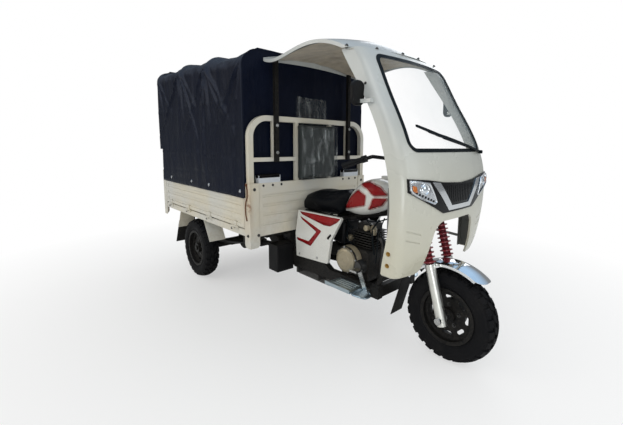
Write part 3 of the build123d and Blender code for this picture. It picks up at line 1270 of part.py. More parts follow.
# Front fender, a crowned strip round the tyre, bolted between the sliders
FENDER_ARC = FENDER_REAR_DEG - FENDER_FRONT_DEG
front_cos = math.cos(math.radians(FENDER_FRONT_DEG))
front_sin = math.sin(math.radians(FENDER_FRONT_DEG))
fender_in = FENDER_HALF_W - FENDER_T
with BuildPart() as front_fender:
    with BuildSketch(Plane(origin=FRONT_AXLE, x_dir=(0, 1, 0), z_dir=(front_sin, 0, -front_cos))):
        with BuildLine():
            Line((-FENDER_HALF_W, FENDER_LIP_R), (-FENDER_HALF_W, FENDER_EDGE_R))
            ThreePointArc((-FENDER_HALF_W, FENDER_EDGE_R), (0, FENDER_R), (FENDER_HALF_W, FENDER_EDGE_R))
            Line((FENDER_HALF_W, FENDER_EDGE_R), (FENDER_HALF_W, FENDER_LIP_R))
            Line((FENDER_HALF_W, FENDER_LIP_R), (fender_in, FENDER_LIP_R))
            Line((fender_in, FENDER_LIP_R), (fender_in, FENDER_EDGE_R - 1))
            ThreePointArc(
                (fender_in, FENDER_EDGE_R - 1), (0, FENDER_R - FENDER_T), (-fender_in, FENDER_EDGE_R - 1)
            )
            Line((-fender_in, FENDER_EDGE_R - 1), (-fender_in, FENDER_LIP_R))
            Line((-fender_in, FENDER_LIP_R), (-FENDER_HALF_W, FENDER_LIP_R))
        make_face()
    revolve(axis=Axis(FRONT_AXLE, (0, -1, 0)), revolution_arc=FENDER_ARC)
    nose_way = Vector(front_cos, 0, front_sin)
    nose_spot = FRONT_AXLE + nose_way * (FENDER_LIP_R - 20)
    with BuildSketch(Plane(origin=nose_spot, x_dir=(0, 1, 0), z_dir=nose_way)):
        for end in (-1, 1):
            with Locations((end * (FENDER_HALF_W - FENDER_NOSE_R / 2 + 4), FENDER_NOSE_R / 2 - 4)):
                Rectangle(FENDER_NOSE_R + 8, FENDER_NOSE_R + 8)
        for end in (-1, 1):
            with Locations((end * (FENDER_HALF_W - FENDER_NOSE_R), FENDER_NOSE_R)):
                Circle(FENDER_NOSE_R, mode=Mode.SUBTRACT)
    extrude(amount=80, mode=Mode.SUBTRACT)
    pad_spot = FRONT_AXLE + STEER_AXIS * 312
    pad_l = FORK_Y - SLIDER_R - FIT_GAP - FENDER_HALF_W + 1
    for end in (-1, 1):
        with Locations((pad_spot.X, end * (FENDER_HALF_W - 1 + pad_l / 2), pad_spot.Z)):
            Cylinder(7, pad_l, rotation=(90, 0, 0))
front_fender.part.label = "front_fender"
export_step(front_fender.part, "parts/front_fender.step")

# Rubber flap at the tail of the fender
FLAP_HALF_W = 62.0
FLAP_T = 5.0
flap_in = FENDER_R + FIT_GAP + 1.0
flap_points = []
for degrees in (137, 145, 153):
    angle = math.radians(degrees)
    flap_points.append(
        (FRONT_AXLE_X + flap_in * math.cos(angle), TYRE_R + flap_in * math.sin(angle))
    )
flap_points.append((1008.0, 150.0))
flap_points.append((1003.0, 150.0))
for degrees in (153, 145, 137):
    angle = math.radians(degrees)
    flap_points.append(
        (
            FRONT_AXLE_X + (flap_in + FLAP_T) * math.cos(angle),
            TYRE_R + (flap_in + FLAP_T) * math.sin(angle),
        )
    )
with BuildPart() as front_flap:
    with BuildSketch(Plane.XZ.offset(-FLAP_HALF_W)):
        with BuildLine():
            Polyline(*flap_points, close=True)
        make_face()
    extrude(amount=2 * FLAP_HALF_W)
front_flap.part.label = "front_flap"
export_step(front_flap.part, "parts/front_flap.step")

# Handlebar, with grips and levers at its ends
BAR_HALF = (
    (bar_middle.X, 102.0, bar_middle.Z), (1092.0, 158.0, 1196.0),
    (985.0, 268.0, 1214.0), (868.0, 400.0, 1158.0),
)
bar_points = [(x, -y, z) for x, y, z in reversed(BAR_HALF)] + list(BAR_HALF)
with BuildPart() as handlebar:
    with BuildLine():
        bar_line = FilletPolyline(*bar_points, radius=34)
    with BuildSketch(Plane(origin=bar_line @ 0, z_dir=bar_line % 0)):
        Circle(BAR_R)
    sweep()
handlebar.part.label = "handlebar"
export_step(handlebar.part, "parts/handlebar.step")

with BuildPart() as hand_controls:
    for end in (-1, 1):
        grip_in = Vector(985.0, end * 268.0, 1214.0)
        grip_out = Vector(868.0, end * 400.0, 1158.0)
        grip_way = grip_out - grip_in
        step = grip_way.normalized()
        out_plane = Plane(origin=grip_in + step * 62, z_dir=grip_way)
        with BuildSketch(out_plane):
            Circle(GRIP_R)
        extrude(amount=grip_way.length - 62 + 6)
        with BuildSketch(Plane(origin=grip_in + step * 34, z_dir=grip_way)):
            Circle(21)
        extrude(amount=34)
        reach = Vector(40, end * 35, -6)
        with BuildSketch(Plane(origin=grip_in + step * 48, z_dir=reach)):
            Circle(9)
        extrude(amount=reach.length + 6)
        lever_in = grip_in + step * 48 + reach
        lever_way = grip_out + Vector(44, end * 38, -12) - lever_in
        with BuildSketch(Plane(origin=lever_in, z_dir=lever_way)):
            Circle(6)
        extrude(amount=lever_way.length)
        with BuildSketch(Plane(origin=grip_in + step * 20, z_dir=grip_way)):
            Circle(BAR_R + RUNNING_GAP)
        extrude(amount=grip_way.length - 20 + 0.2, mode=Mode.SUBTRACT)
hand_controls.part.label = "hand_controls"
export_step(hand_controls.part, "parts/hand_controls.step")
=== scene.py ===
"""Looks of the cargo motor tricycle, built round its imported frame. Metres, X forward, Y left, Z up."""
import math
import random

import bmesh
import bpy
import numpy as np
from mathutils import Matrix, Vector, noise
from mathutils.bvhtree import BVHTree


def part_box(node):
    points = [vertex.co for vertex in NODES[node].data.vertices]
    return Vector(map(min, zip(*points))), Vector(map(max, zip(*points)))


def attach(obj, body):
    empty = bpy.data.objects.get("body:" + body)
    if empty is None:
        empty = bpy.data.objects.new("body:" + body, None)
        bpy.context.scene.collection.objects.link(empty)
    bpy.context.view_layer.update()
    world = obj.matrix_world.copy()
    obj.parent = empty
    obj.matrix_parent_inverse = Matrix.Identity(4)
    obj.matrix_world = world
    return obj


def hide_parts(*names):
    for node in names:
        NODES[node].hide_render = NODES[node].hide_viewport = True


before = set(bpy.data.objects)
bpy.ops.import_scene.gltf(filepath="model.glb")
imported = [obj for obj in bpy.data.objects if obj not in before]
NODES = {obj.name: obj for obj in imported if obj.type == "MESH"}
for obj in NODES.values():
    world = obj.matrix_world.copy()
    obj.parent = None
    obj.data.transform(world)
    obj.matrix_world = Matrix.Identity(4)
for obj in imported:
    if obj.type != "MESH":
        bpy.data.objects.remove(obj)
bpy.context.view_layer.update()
SCENE = bpy.context.scene

# Camera, solved from the photograph's 623 by 425 frame
IMAGE_W, IMAGE_H = 623, 425
CAMERA_AT = Vector((2.318, -1.872, 1.282))
CAMERA_YAW, CAMERA_PITCH, CAMERA_ROLL = (math.radians(a) for a in (46.158, 7.721, 0.56))
FOCAL_PX = 344.97
PRINCIPAL_PX = (333.13, 191.46)
SENSOR_MM = 36.0

# Colours, linear
# The cab's cream: a cool grey-blue up high for the painted sky reflection and shade on the roof, and a warmer
# second colour for painted warm light bounced up from the ground low down
CREAM = (0.53, 0.55, 0.535)
CREAM_WARM_BOUNCE = (0.58, 0.548, 0.425)
BOX_CREAM = (0.67, 0.618, 0.49)
GEL_WHITE = (0.70, 0.695, 0.65)
CRIMSON = (0.26, 0.004, 0.007)
SPRING_RED = (0.26, 0.010, 0.022)
PINK = (0.62, 0.36, 0.33)
NAVY = (0.0030, 0.0050, 0.0135)
DUST = (0.42, 0.36, 0.27)
RUST = (0.20, 0.065, 0.018)
BLACK = (0.0075, 0.0075, 0.008)
BEIGE_CLOTH = (0.43, 0.36, 0.26)
GOLD_GREY = (0.37, 0.315, 0.215)
WORN_RUBBER = (0.026, 0.024, 0.022)
DARK_RUST = (0.07, 0.028, 0.012)
WHITE = (1.0, 1.0, 1.0)
EVEN = (1.0, 1.0, 1.0)
# Middle of the rust stain round each gate hook
HOOK_X, HOOK_Z = 0.088, 0.82


class Graph:
    """A node tree, with short calls for the nodes in it."""

    def __init__(self, tree):
        self.tree = tree

    def feed(self, socket, value):
        if isinstance(value, bpy.types.NodeSocket):
            self.tree.links.new(value, socket)
        elif hasattr(value, "__len__") and len(value) == 3 and len(socket.default_value) == 4:
            socket.default_value = (*value, 1.0)
        else:
            socket.default_value = value

    def feed_all(self, node, sockets):
        for key, value in sockets.items():
            self.feed(node.inputs[key.replace("_", " ")], value)

    def node(self, kind, settings=None, **inputs):
        made = self.tree.nodes.new(kind)
        for key, value in (settings or {}).items():
            setattr(made, key, value)
        self.feed_all(made, inputs)
        return made

    def calc(self, kind, first, second=0.0):
        made = self.node("ShaderNodeMath", {"operation": kind})
        self.feed(made.inputs[0], first)
        self.feed(made.inputs[1], second)
        return made.outputs[0]

    def times(self, first, second):
        return self.calc("MULTIPLY", first, second)

    def axes(self, vector):
        return self.node("ShaderNodeSeparateXYZ", Vector=vector).outputs

    def seen(self):
        """1 where the camera looks, straight or through glass."""
        paths = self.node("ShaderNodeLightPath").outputs
        return self.calc("MAXIMUM", paths["Is Camera Ray"], paths["Is Transmission Ray"])

    def mix(self, factor, first, second):
        """A mixture of two shaders."""
        made = self.node("ShaderNodeMixShader")
        for index, value in enumerate((factor, first, second)):
            self.feed(made.inputs[index], value)
        return made.outputs[0]


class Shade(Graph):
    """A principled material, with short calls for the textures that feed it."""

    def __init__(self, name, **sockets):
        self.material = bpy.data.materials.new(name)
        self.material.use_nodes = True
        super().__init__(self.material.node_tree)
        self.bsdf = self.tree.nodes["Principled BSDF"]
        self.place = self.node("ShaderNodeTexCoord").outputs["Object"]
        self.feed_all(self.bsdf, sockets)

    def stretched(self, stretch):
        return self.node("ShaderNodeMapping", Vector=self.place, Scale=stretch).outputs[0]

    def noise(self, scale, detail=3.0, stretch=EVEN):
        where = self.stretched(stretch)
        return self.node("ShaderNodeTexNoise", Vector=where, Scale=scale, Detail=detail).outputs[0]

    def cells(self, scale, stretch=EVEN):
        where = self.stretched(stretch)
        return self.node("ShaderNodeTexVoronoi", Vector=where, Scale=scale).outputs["Distance"]

    def bands(self, scale, direction):
        settings = {"wave_type": "BANDS", "bands_direction": direction}
        return self.node("ShaderNodeTexWave", settings, Vector=self.place, Scale=scale).outputs[1]

    def span(self, value, low, high, to_low=0.0, to_high=1.0):
        made = self.node("ShaderNodeMapRange", Value=value)
        for index, number in enumerate((low, high, to_low, to_high), 1):
            made.inputs[index].default_value = number
        return made.outputs[0]

    def blend(self, factor, first, second):
        made = self.node("ShaderNodeMix", {"data_type": "RGBA"})
        for index, value in ((0, factor), (6, first), (7, second)):
            self.feed(made.inputs[index], value)
        return made.outputs[2]

    def height(self):
        return self.axes(self.place)["Z"]

    def rounded(self, radius):
        return self.node("ShaderNodeBevel", {"samples": 4}, Radius=radius).outputs[0]

    def bump(self, height, strength, distance, normal=None):
        made = self.node("ShaderNodeBump", Height=height, Strength=strength, Distance=distance)
        if normal is not None:
            self.feed(made.inputs["Normal"], normal)
        return made.outputs[0]

    def clouded(self, cloud, spread, colour, other, rough, normal):
        """Two tones and two roughnesses that follow one noise."""
        base = self.blend(self.span(cloud, *spread), colour, other)
        return self.done(Base_Color=base, Roughness=self.span(cloud, 0.3, 0.7, *rough), Normal=normal)

    def done(self, **sockets):
        self.feed_all(self.bsdf, sockets)
        return self.material


def painted(
    name, colour, rough=0.28, dust=0.35, coat=0.35, round_edge=0.002, metallic=0.0, shine=0.5, warm_bounce_colour=None
):
    """Sprayed paint or gel coat: soft clouds of tone, dustier low down, orange peel; a second colour, where
    given, is painted warm ground bounce that grows towards the bottom.
    """
    s = Shade(name, Coat_Weight=coat, Coat_Roughness=0.1, Metallic=metallic, Specular_IOR_Level=shine)
    cloud = s.noise(2.4, 5.0)
    fine = s.noise(85.0, 4.0)
    streak = s.noise(9.0, 4.0, (1.0, 1.0, 0.16))
    worn = [0.88 * c for c in colour]
    base = s.blend(s.span(cloud, 0.36, 0.74), colour, worn)
    # Painted warm light bounced up from the ground, fading in below 1.5 m
    if warm_bounce_colour:
        base = s.blend(s.span(s.height(), 1.5, 0.7, 0.0, 0.9), base, warm_bounce_colour)
    base = s.blend(s.span(streak, 0.58, 0.8, 0.0, 0.14), base, [0.72 * c for c in colour])
    low_down = s.span(s.height(), 0.3, 1.0, dust, 0.03)
    base = s.blend(s.times(low_down, s.span(fine, 0.36, 0.66)), base, DUST)
    peel = s.bump(s.noise(520.0, 1.0), 0.035, 0.001, s.rounded(round_edge))
    return s.done(
        Base_Color=base, Roughness=s.span(cloud, 0.3, 0.75, rough - 0.05, rough + 0.12), Normal=peel
    )


def box_paint():
    """Brushed-on cream paint of the load box, stained and rusted round the gate hooks."""
    s = Shade("box_paint", Coat_Weight=0.15, Coat_Roughness=0.2)
    cloud = s.noise(3.0, 5.0)
    chips = s.noise(38.0, 6.0)
    streak = s.noise(14.0, 5.0, (1.0, 1.0, 0.12))
    base = s.blend(s.span(cloud, 0.35, 0.7), BOX_CREAM, (0.63, 0.62, 0.57))
    base = s.blend(s.span(streak, 0.62, 0.82, 0.0, 0.2), base, (0.50, 0.42, 0.29))
    axes = s.axes(s.place)
    along = s.calc("ABSOLUTE", s.calc("SUBTRACT", axes["X"], HOOK_X))
    down = s.times(s.calc("ABSOLUTE", s.calc("SUBTRACT", axes["Z"], HOOK_Z)), 0.42)
    outer = s.span(s.calc("ABSOLUTE", axes["Y"]), 0.575, 0.606)
    stain = s.times(s.span(s.calc("ADD", along, down), 0.17, 0.03), outer)
    stain = s.times(stain, s.span(streak, 0.3, 0.62, 0.25, 1.0))
    base = s.blend(s.times(stain, 0.55), base, (0.42, 0.25, 0.09))
    base = s.blend(s.times(s.span(stain, 0.45, 0.8), s.span(chips, 0.48, 0.6)), base, RUST)
    low_down = s.span(s.height(), 0.45, 0.9, 0.35, 0.02)
    base = s.blend(s.times(low_down, s.span(chips, 0.4, 0.7)), base, DUST)
    rough = s.span(cloud, 0.3, 0.75, 0.3, 0.46)
    peel = s.bump(s.noise(340.0, 2.0), 0.06, 0.001, s.rounded(0.003))
    return s.done(Base_Color=base, Roughness=rough, Normal=peel)


def canvas():
    """Coated dark canvas: basket weave and creases, with painted highlights on the crease ridges and a
    painted sheen on faces turned up and forward.
    """
    s = Shade("canvas", Specular_IOR_Level=0.09)
    threads = s.calc("MAXIMUM", s.bands(150.0, "Z"), s.bands(150.0, "Y"))
    weave = s.times(s.bands(150.0, "X"), threads)
    crease = s.noise(26.0, 6.0, (1.0, 1.0, 0.35))
    cloud = s.noise(4.0, 5.0)
    base = s.blend(s.span(cloud, 0.35, 0.7), NAVY, [1.35 * c for c in NAVY])
    # Lighter grey-blue on the crease ridges: painted highlights of the folds
    base = s.blend(s.span(crease, 0.55, 0.8, 0.0, 0.25), base, (0.014, 0.016, 0.024))
    # Faces turned up, and flank faces turned forward, get a lighter grey-blue: a painted sheen of sky light
    facing = s.axes(s.node("ShaderNodeNewGeometry").outputs["Normal"])
    flank = s.span(s.calc("ABSOLUTE", facing["Y"]), 0.35, 0.7)
    crest = s.times(s.span(s.calc("ADD", facing["X"], facing["Z"]), 0.06, 0.5), flank)
    sky = s.span(facing["Z"], 0.3, 0.95, 0.0, 0.5)
    base = s.blend(s.times(s.calc("MAXIMUM", crest, sky), 0.8), base, (0.030, 0.036, 0.054))
    folds = s.bump(crease, 0.45, 0.008)
    cloth = s.bump(weave, 0.25, 0.0006, folds)
    return s.done(Base_Color=base, Roughness=s.span(cloud, 0.3, 0.7, 0.34, 0.5), Normal=cloth)


def rubber(name, colour=BLACK, dusty=0.4, rough=0.62):
    s = Shade(name, Specular_IOR_Level=0.12)
    fine = s.bump(s.noise(140.0, 5.0), 0.2, 0.0008)
    spread = (0.45, 0.8, 0.0, dusty)
    return s.clouded(s.noise(9.0, 4.0), spread, colour, WORN_RUBBER, (rough - 0.1, rough + 0.15), fine)


def metal(name, colour, rough, grain=EVEN, grime=0.2, round_edge=0.0012):
    """Bare, plated or cast metal with fine scratches along its grain and grime in soft patches."""
    s = Shade(name, Metallic=1.0)
    scratch = s.noise(190.0, 4.0, grain)
    cloud = s.noise(12.0, 5.0)
    base = s.blend(s.span(cloud, 0.5, 0.8, 0.0, grime), colour, [0.35 * c for c in colour])
    return s.done(
        Base_Color=base,
        Roughness=s.span(scratch, 0.3, 0.75, max(rough - 0.04, 0.03), rough + 0.1),
        Normal=s.bump(scratch, 0.06, 0.0006, s.rounded(round_edge)),
    )


def plastic(name, colour=BLACK, rough=0.42, grain=0.25, coat=0.0, shine=0.14):
    s = Shade(name, Coat_Weight=coat, Coat_Roughness=0.05, Specular_IOR_Level=shine)
    leather = s.bump(s.cells(420.0), grain, 0.0006, s.rounded(0.0015))
    worn = [0.8 * c + 0.006 for c in colour]
    spread = (0.5, 0.85, 0.0, 0.35)
    return s.clouded(s.noise(7.0, 4.0), spread, colour, worn, (rough - 0.06, rough + 0.1), leather)


def vinyl(name, colour, rough=0.38):
    """Seat cover: small pebbled grain with a soft sheen."""
    s = Shade(name, Specular_IOR_Level=0.1)
    pebble = s.bump(s.cells(310.0), 0.3, 0.0007, s.bump(s.noise(18.0, 4.0), 0.16, 0.004))
    worn = [0.75 * c + 0.003 for c in colour]
    return s.clouded(s.noise(8.0, 4.0), (0.4, 0.75), colour, worn, (rough - 0.06, rough + 0.12), pebble)


def cloth(name, colour):
    s = Shade(name, Sheen_Weight=0.2, Sheen_Roughness=0.5, Roughness=0.85)
    weave = s.times(s.bands(170.0, "X"), s.bands(170.0, "Y"))
    crease = s.noise(13.0, 6.0)
    base = s.blend(s.span(crease, 0.35, 0.75), colour, [0.62 * c for c in colour])
    return s.done(Base_Color=base, Normal=s.bump(weave, 0.2, 0.0006, s.bump(crease, 0.5, 0.01)))


def clear_film():
    """Loose packing film: thin, clear and full of sharp creases, with pale streaks that are painted
    highlights.
    """
    s = Shade("packing_film", IOR=1.5, Specular_IOR_Level=1.0)
    crinkle = s.cells(19.0, (1.0, 1.0, 0.55))
    fine = s.noise(34.0, 6.0, (1.0, 1.0, 0.5))
    drawn = s.noise(11.0, 3.0, (1.0, 1.6, 0.5))
    sharp = s.bump(crinkle, 0.8, 0.02, s.bump(fine, 0.5, 0.008, s.bump(drawn, 0.7, 0.03)))
    # Pale streaks are painted highlights of the crinkled film; the film is fuller there too
    streak = s.noise(30.0, 5.0, (1.0, 1.0, 0.22))
    base = s.blend(s.span(streak, 0.52, 0.72), (0.09, 0.10, 0.10), (0.42, 0.45, 0.45))
    return s.done(
        Base_Color=base,
        Alpha=s.span(streak, 0.42, 0.75, 0.2, 0.55),
        Roughness=s.span(drawn, 0.3, 0.7, 0.1, 0.24),
        Normal=sharp,
    )


def glass(name, tint, rough=0.02):
    """A clear pane: nearly open face on; seen aslant it turns to a fuller pale blue-grey, a painted
    reflection, and smears fill it a little more.
    """
    s = Shade(name, IOR=1.45, Specular_IOR_Level=0.5)
    smear = s.noise(6.0, 4.0)
    # Where the pane is seen aslant, its pale blue-grey colour is a painted reflection
    aslant = s.node("ShaderNodeLayerWeight", Blend=0.5).outputs["Facing"]
    cover = s.calc("ADD", s.span(aslant, 0.45, 0.95, 0.015, 0.24), s.span(smear, 0.45, 0.8, 0.0, 0.025))
    base = s.blend(s.span(smear, 0.4, 0.8), tint, [0.9 * c for c in tint])
    return s.done(Base_Color=base, Alpha=cover, Roughness=s.span(smear, 0.35, 0.75, rough, rough + 0.04))


def lens(name, colour, rough=0.08, glow=0.0):
    """Coloured or mirrored lamp piece with fine vertical flutes."""
    s = Shade(name, Coat_Weight=0.9, Coat_Roughness=0.03, Metallic=glow)
    flutes = s.bump(s.bands(26.0, "Y"), 0.25, 0.002)
    deep = [0.6 * c for c in colour]
    return s.clouded(s.noise(40.0, 3.0), (0.35, 0.7), colour, deep, (rough, rough + 0.1), flutes)


def rusted():
    s = Shade("rusted_steel", Metallic=0.2)
    scale = s.noise(90.0, 6.0)
    return s.clouded(scale, (0.35, 0.65), RUST, DARK_RUST, (0.6, 0.9), s.bump(scale, 0.5, 0.002))


MATERIALS = {
    "cab": painted("cab_paint", CREAM, rough=0.26, dust=0.12, coat=0.4, warm_bounce_colour=CREAM_WARM_BOUNCE),
    "box": box_paint(),
    "white": painted("panel_white", GEL_WHITE, rough=0.2, dust=0.22, coat=0.6, round_edge=0.004),
    "red": painted("crimson_paint", CRIMSON, rough=0.24, dust=0.02, coat=0.1, shine=0.16),
    "pink": painted("pale_pink_line", PINK, rough=0.3, dust=0.05),
    "spring": painted("spring_red", SPRING_RED, rough=0.3, dust=0.12, coat=0.5),
    "chassis": painted("chassis_black", BLACK, rough=0.42, dust=0.035, coat=0.0, shine=0.14),
    "canvas": canvas(),
    "tyre": rubber("tyre_rubber", (0.0055, 0.0055, 0.0065), dusty=0.3),
    "rubber": rubber("black_rubber", (0.004, 0.007, 0.009), dusty=0.12, rough=0.45),
    "flap": rubber("flap_rubber", (0.012, 0.0115, 0.011), dusty=0.6),
    "chrome": metal("chrome", (0.86, 0.87, 0.88), 0.05, grime=0.12),
    "aluminium": metal("cast_aluminium", (0.84, 0.83, 0.77), 0.34, (1.0, 1.0, 0.2), grime=0.2),
    "plate": metal("tread_plate", (0.46, 0.55, 0.60), 0.3, (0.3, 1.0, 1.0), grime=0.12),
    "steel": metal("bright_steel", (0.55, 0.55, 0.54), 0.25, grime=0.35),
    "dull": metal("dull_steel", (0.10, 0.098, 0.095), 0.45, grime=0.5),
    "bronze": metal("bronze_bolts", (0.42, 0.25, 0.07), 0.35, grime=0.5),
    "gold": painted("clutch_cover", GOLD_GREY, rough=0.34, dust=0.12, coat=0.2, metallic=0.35),
    "engine": painted("engine_black", (0.012, 0.012, 0.0125), rough=0.42, dust=0.07, coat=0.0, shine=0.2),
    "plastic": plastic("black_plastic"),
    "liner_plastic": plastic("liner_plastic", (0.17, 0.17, 0.16), rough=0.55, grain=0.3),
    # The sleeves' dark red is painted shade of the red coils between them
    "sleeve": plastic("sleeve_coil_shade_red", (0.085, 0.005, 0.009), rough=0.4, grain=0.1),
    "strip": metal("satin_chrome", (0.86, 0.87, 0.88), 0.1, grime=0.12),
    "gloss": plastic("gloss_black", (0.0045, 0.0045, 0.005), rough=0.2, grain=0.02, shine=0.22),
    "seat": vinyl("seat_vinyl", (0.0048, 0.0055, 0.007)),
    "pad": vinyl("backrest_vinyl", (0.040, 0.046, 0.046), rough=0.34),
    "liner": cloth("roof_cloth", BEIGE_CLOTH),
    "film": clear_film(),
    "glass": glass("windscreen_glass", (0.52, 0.62, 0.66)),
    "mirror": metal("mirror_glass", (0.80, 0.84, 0.88), 0.04, grime=0.05),
    "reflector": lens("lamp_reflector", (0.78, 0.80, 0.83), glow=0.85),
    "amber": lens("amber_lens", (0.62, 0.17, 0.02)),
    "tail": lens("tail_lens", (0.42, 0.008, 0.008)),
    "marker": plastic("marker_white", (0.62, 0.65, 0.68), rough=0.3, grain=0.05, coat=0.2, shine=0.4),
    "rust": rusted(),
}

# What each carried-over CAD node is finished in
FINISHES = {
    "cab": "cab_shell cab_roof",
    "box": "headboard corner_posts headboard_arch rear_arch mudguards load_floor gate_right gate_left "
    "tailgate",
    "white": "fuel_tank side_panels",
    "spring": "fork_springs",
    "chassis": "frame_rails cross_members riding_frame roof_posts leaf_springs propeller_shaft rear_axle "
    "fork_crown canopy_frame plate_bracket front_rim rear_right_rim rear_left_rim",
    "tyre": "front_tyre rear_right_tyre rear_left_tyre",
    "rubber": "windshield_seal wiper",
    "flap": "mud_flaps front_flap",
    "chrome": "front_fender",
    "aluminium": "fork_sliders",
    "plate": "foot_boards",
    "steel": "brake_pedal front_axle",
    "dull": "exhaust",
    "engine": "engine_case engine_cylinder",
    "plastic": "battery_box hand_controls handlebar mirrors",
    "liner_plastic": "cab_liner",
    "strip": "grille_strip",
    "gloss": "nose_mask",
    "seat": "seat",
    "pad": "backrest",
    "canvas": "tarp",
    "glass": "windshield",
    "reflector": "headlamps",
    "tail": "tail_lamps",
    "marker": "marker_lamps",
}
for finish, names in FINISHES.items():
    for name in names.split():
        NODES[name].data.materials.clear()
        NODES[name].data.materials.append(MATERIALS[finish])


# The fork springs' line, for the sleeves that show between their coils, painted dark red as the coils' shade
FORK_FOOT = Vector((1.395, 0.0, 0.280))
FORK_WAY = Vector((-0.275637, 0.0, 0.961262))
FORK_HALF = 0.105
SLEEVE_R = 0.0262
# The mirrors' arms are sprayed with the pillars they stand on, ahead of this place
MIRROR_ARM_X = 1.0675


def on_sleeve(polygon):
    at = polygon.center - FORK_FOOT
    at.y = abs(at.y) - FORK_HALF
    return (at - FORK_WAY * at.dot(FORK_WAY)).length < SLEEVE_R


def on_arm(polygon):
    return polygon.center.x > MIRROR_ARM_X


def faces_engine(polygon):
    """The inner side of a side panel: bare black plastic, which also stands in as painted shade in the gap to
    the engine.
    """
    return polygon.normal.y * polygon.center.y < -0.5 * abs(polygon.center.y)


for name, finish, chosen in (
    ("fork_springs", "sleeve", on_sleeve),
    ("mirrors", "cab", on_arm),
    ("side_panels", "plastic", faces_engine),
):
    NODES[name].data.materials.append(MATERIALS[finish])
    for polygon in NODES[name].data.polygons:
        if chosen(polygon):
            polygon.material_index = 1

# How far off a search line starts, and the ways that a coat is looked at
FAR = 3.0
LOOKS = {"right": Vector((0, 1, 0)), "left": Vector((0, -1, 0)), "front": Vector((-1, 0, 0))}
SIDES = (-1, 1)
SHARP_ANGLE = math.radians(38)


def turns(count):
    return [2 * math.pi * k / count for k in range(count)]


def polar(radius, angle):
    """A point of a circle that is seen from the side."""
    return Vector((radius * math.cos(angle), 0, radius * math.sin(angle)))


def ripple(x, y, z):
    return noise.noise(Vector((x, y, z)))


def limited(value):
    return min(max(value, 0.0), 1.0)


class Forms:
    """Gathers many small forms into the vertices and faces of one mesh."""

    def __init__(self):
        self.points = []
        self.faces = []

    def grid(self, rows, closed_rows=False, closed_columns=False):
        """A skin through rows of points, each row the same length."""
        start, wide, tall = len(self.points), len(rows[0]), len(rows)
        for row in rows:
            self.points.extend(Vector(p) for p in row)
        for r in range(tall if closed_rows else tall - 1):
            for c in range(wide if closed_columns else wide - 1):
                a, b = r * wide, ((r + 1) % tall) * wide
                d = (c + 1) % wide
                self.faces.append([start + i for i in (a + c, a + d, b + d, b + c)])

    def fan(self, ring):
        start = len(self.points)
        self.points.extend(Vector(p) for p in ring)
        self.faces.append(list(range(start, start + len(ring))))

    def loft(self, rows):
        """A closed body through rings of points."""
        self.grid(rows, closed_columns=True)
        self.fan(rows[0])
        self.fan(list(reversed(rows[-1])))

    def keep(self, test):
        """Leaves only the faces whose middle passes the test, and their points."""
        middles = [sum((self.points[i] for i in face), Vector()) / len(face) for face in self.faces]
        faces = [face for face, middle in zip(self.faces, middles) if test(middle)]
        used = sorted({i for face in faces for i in face})
        moved = {old: new for new, old in enumerate(used)}
        self.points = [self.points[i] for i in used]
        self.faces = [[moved[i] for i in face] for face in faces]

    def lathe(self, at, axis, profile, sides=24):
        """Turns (radius, along) points round an axis; an end at radius 0 is closed by a face."""
        axis = Vector(axis).normalized()
        across = axis.orthogonal().normalized()
        over = axis.cross(across)
        rows = []
        for radius, along in profile:
            ring = []
            for angle in turns(sides):
                out = across * math.cos(angle) + over * math.sin(angle)
                ring.append(Vector(at) + axis * along + out * max(radius, 1e-5))
            rows.append(ring)
        self.loft(rows)

    def tube(self, points, radius, sides=10, closed=False):
        points = [Vector(p) for p in points]
        count = len(points)
        rows = []
        across = None
        for i, p in enumerate(points):
            before = points[i - 1] if i or closed else p
            after = points[(i + 1) % count] if i < count - 1 or closed else p
            way = (after - before).normalized()
            across = way.orthogonal() if across is None else across - way * across.dot(way)
            across.normalize()
            over = way.cross(across)
            rows.append([p + (across * math.cos(a) + over * math.sin(a)) * radius for a in turns(sides)])
        self.grid(rows, closed_rows=closed, closed_columns=True)
        if not closed:
            self.fan(list(reversed(rows[0])))
            self.fan(rows[-1])

    def bolt(self, at, out, radius, washer=1.55):
        """A hexagon head on a round washer, standing on a surface point."""
        flat = 0.32 * radius
        base = -0.5 * flat
        self.lathe(at, out, ((radius * washer, base), (radius * washer, flat), (0.0, flat)), 20)
        head = ((radius, flat), (radius, 1.05 * radius), (0.84 * radius, 1.25 * radius), (0.0, 1.25 * radius))
        self.lathe(at, out, head, 6)

    def mesh(self, name):
        made = bpy.data.meshes.new(name)
        made.from_pydata([tuple(p) for p in self.points], [], self.faces)
        return made

    def piece(self, name, finish, slot=None, body="vehicle"):
        mesh = self.mesh(name)
        mesh.validate()
        work = bmesh.new()
        work.from_mesh(mesh)
        bmesh.ops.recalc_face_normals(work, faces=work.faces)
        work.to_mesh(mesh)
        work.free()
        return place(bpy.data.objects.new(name, mesh), finish, body)


def place(piece, finish, body="vehicle"):
    """Links a finished piece, gives it its material and lets it ride on its body."""
    SCENE.collection.objects.link(piece)
    piece.data.materials.clear()
    piece.data.materials.append(MATERIALS[finish])
    piece.data.polygons.foreach_set("use_smooth", [True] * len(piece.data.polygons))
    piece.data.set_sharp_from_angle(angle=SHARP_ANGLE)
    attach(piece, body)
    return piece


def thicken(piece, thick, offset=-1.0):
    solid = piece.modifiers.new("thickness", "SOLIDIFY")
    solid.thickness = thick
    solid.offset = offset


def tree_over(*pieces):
    """One search tree over the meshes of these objects."""
    points, faces = [], []
    for piece in pieces:
        start = len(points)
        points.extend(v.co.copy() for v in piece.data.vertices)
        faces.extend([start + i for i in p.vertices] for p in piece.data.polygons)
    return BVHTree.FromPolygons(points, faces)


def tree_of(*names):
    return tree_over(*(NODES[name] for name in names))


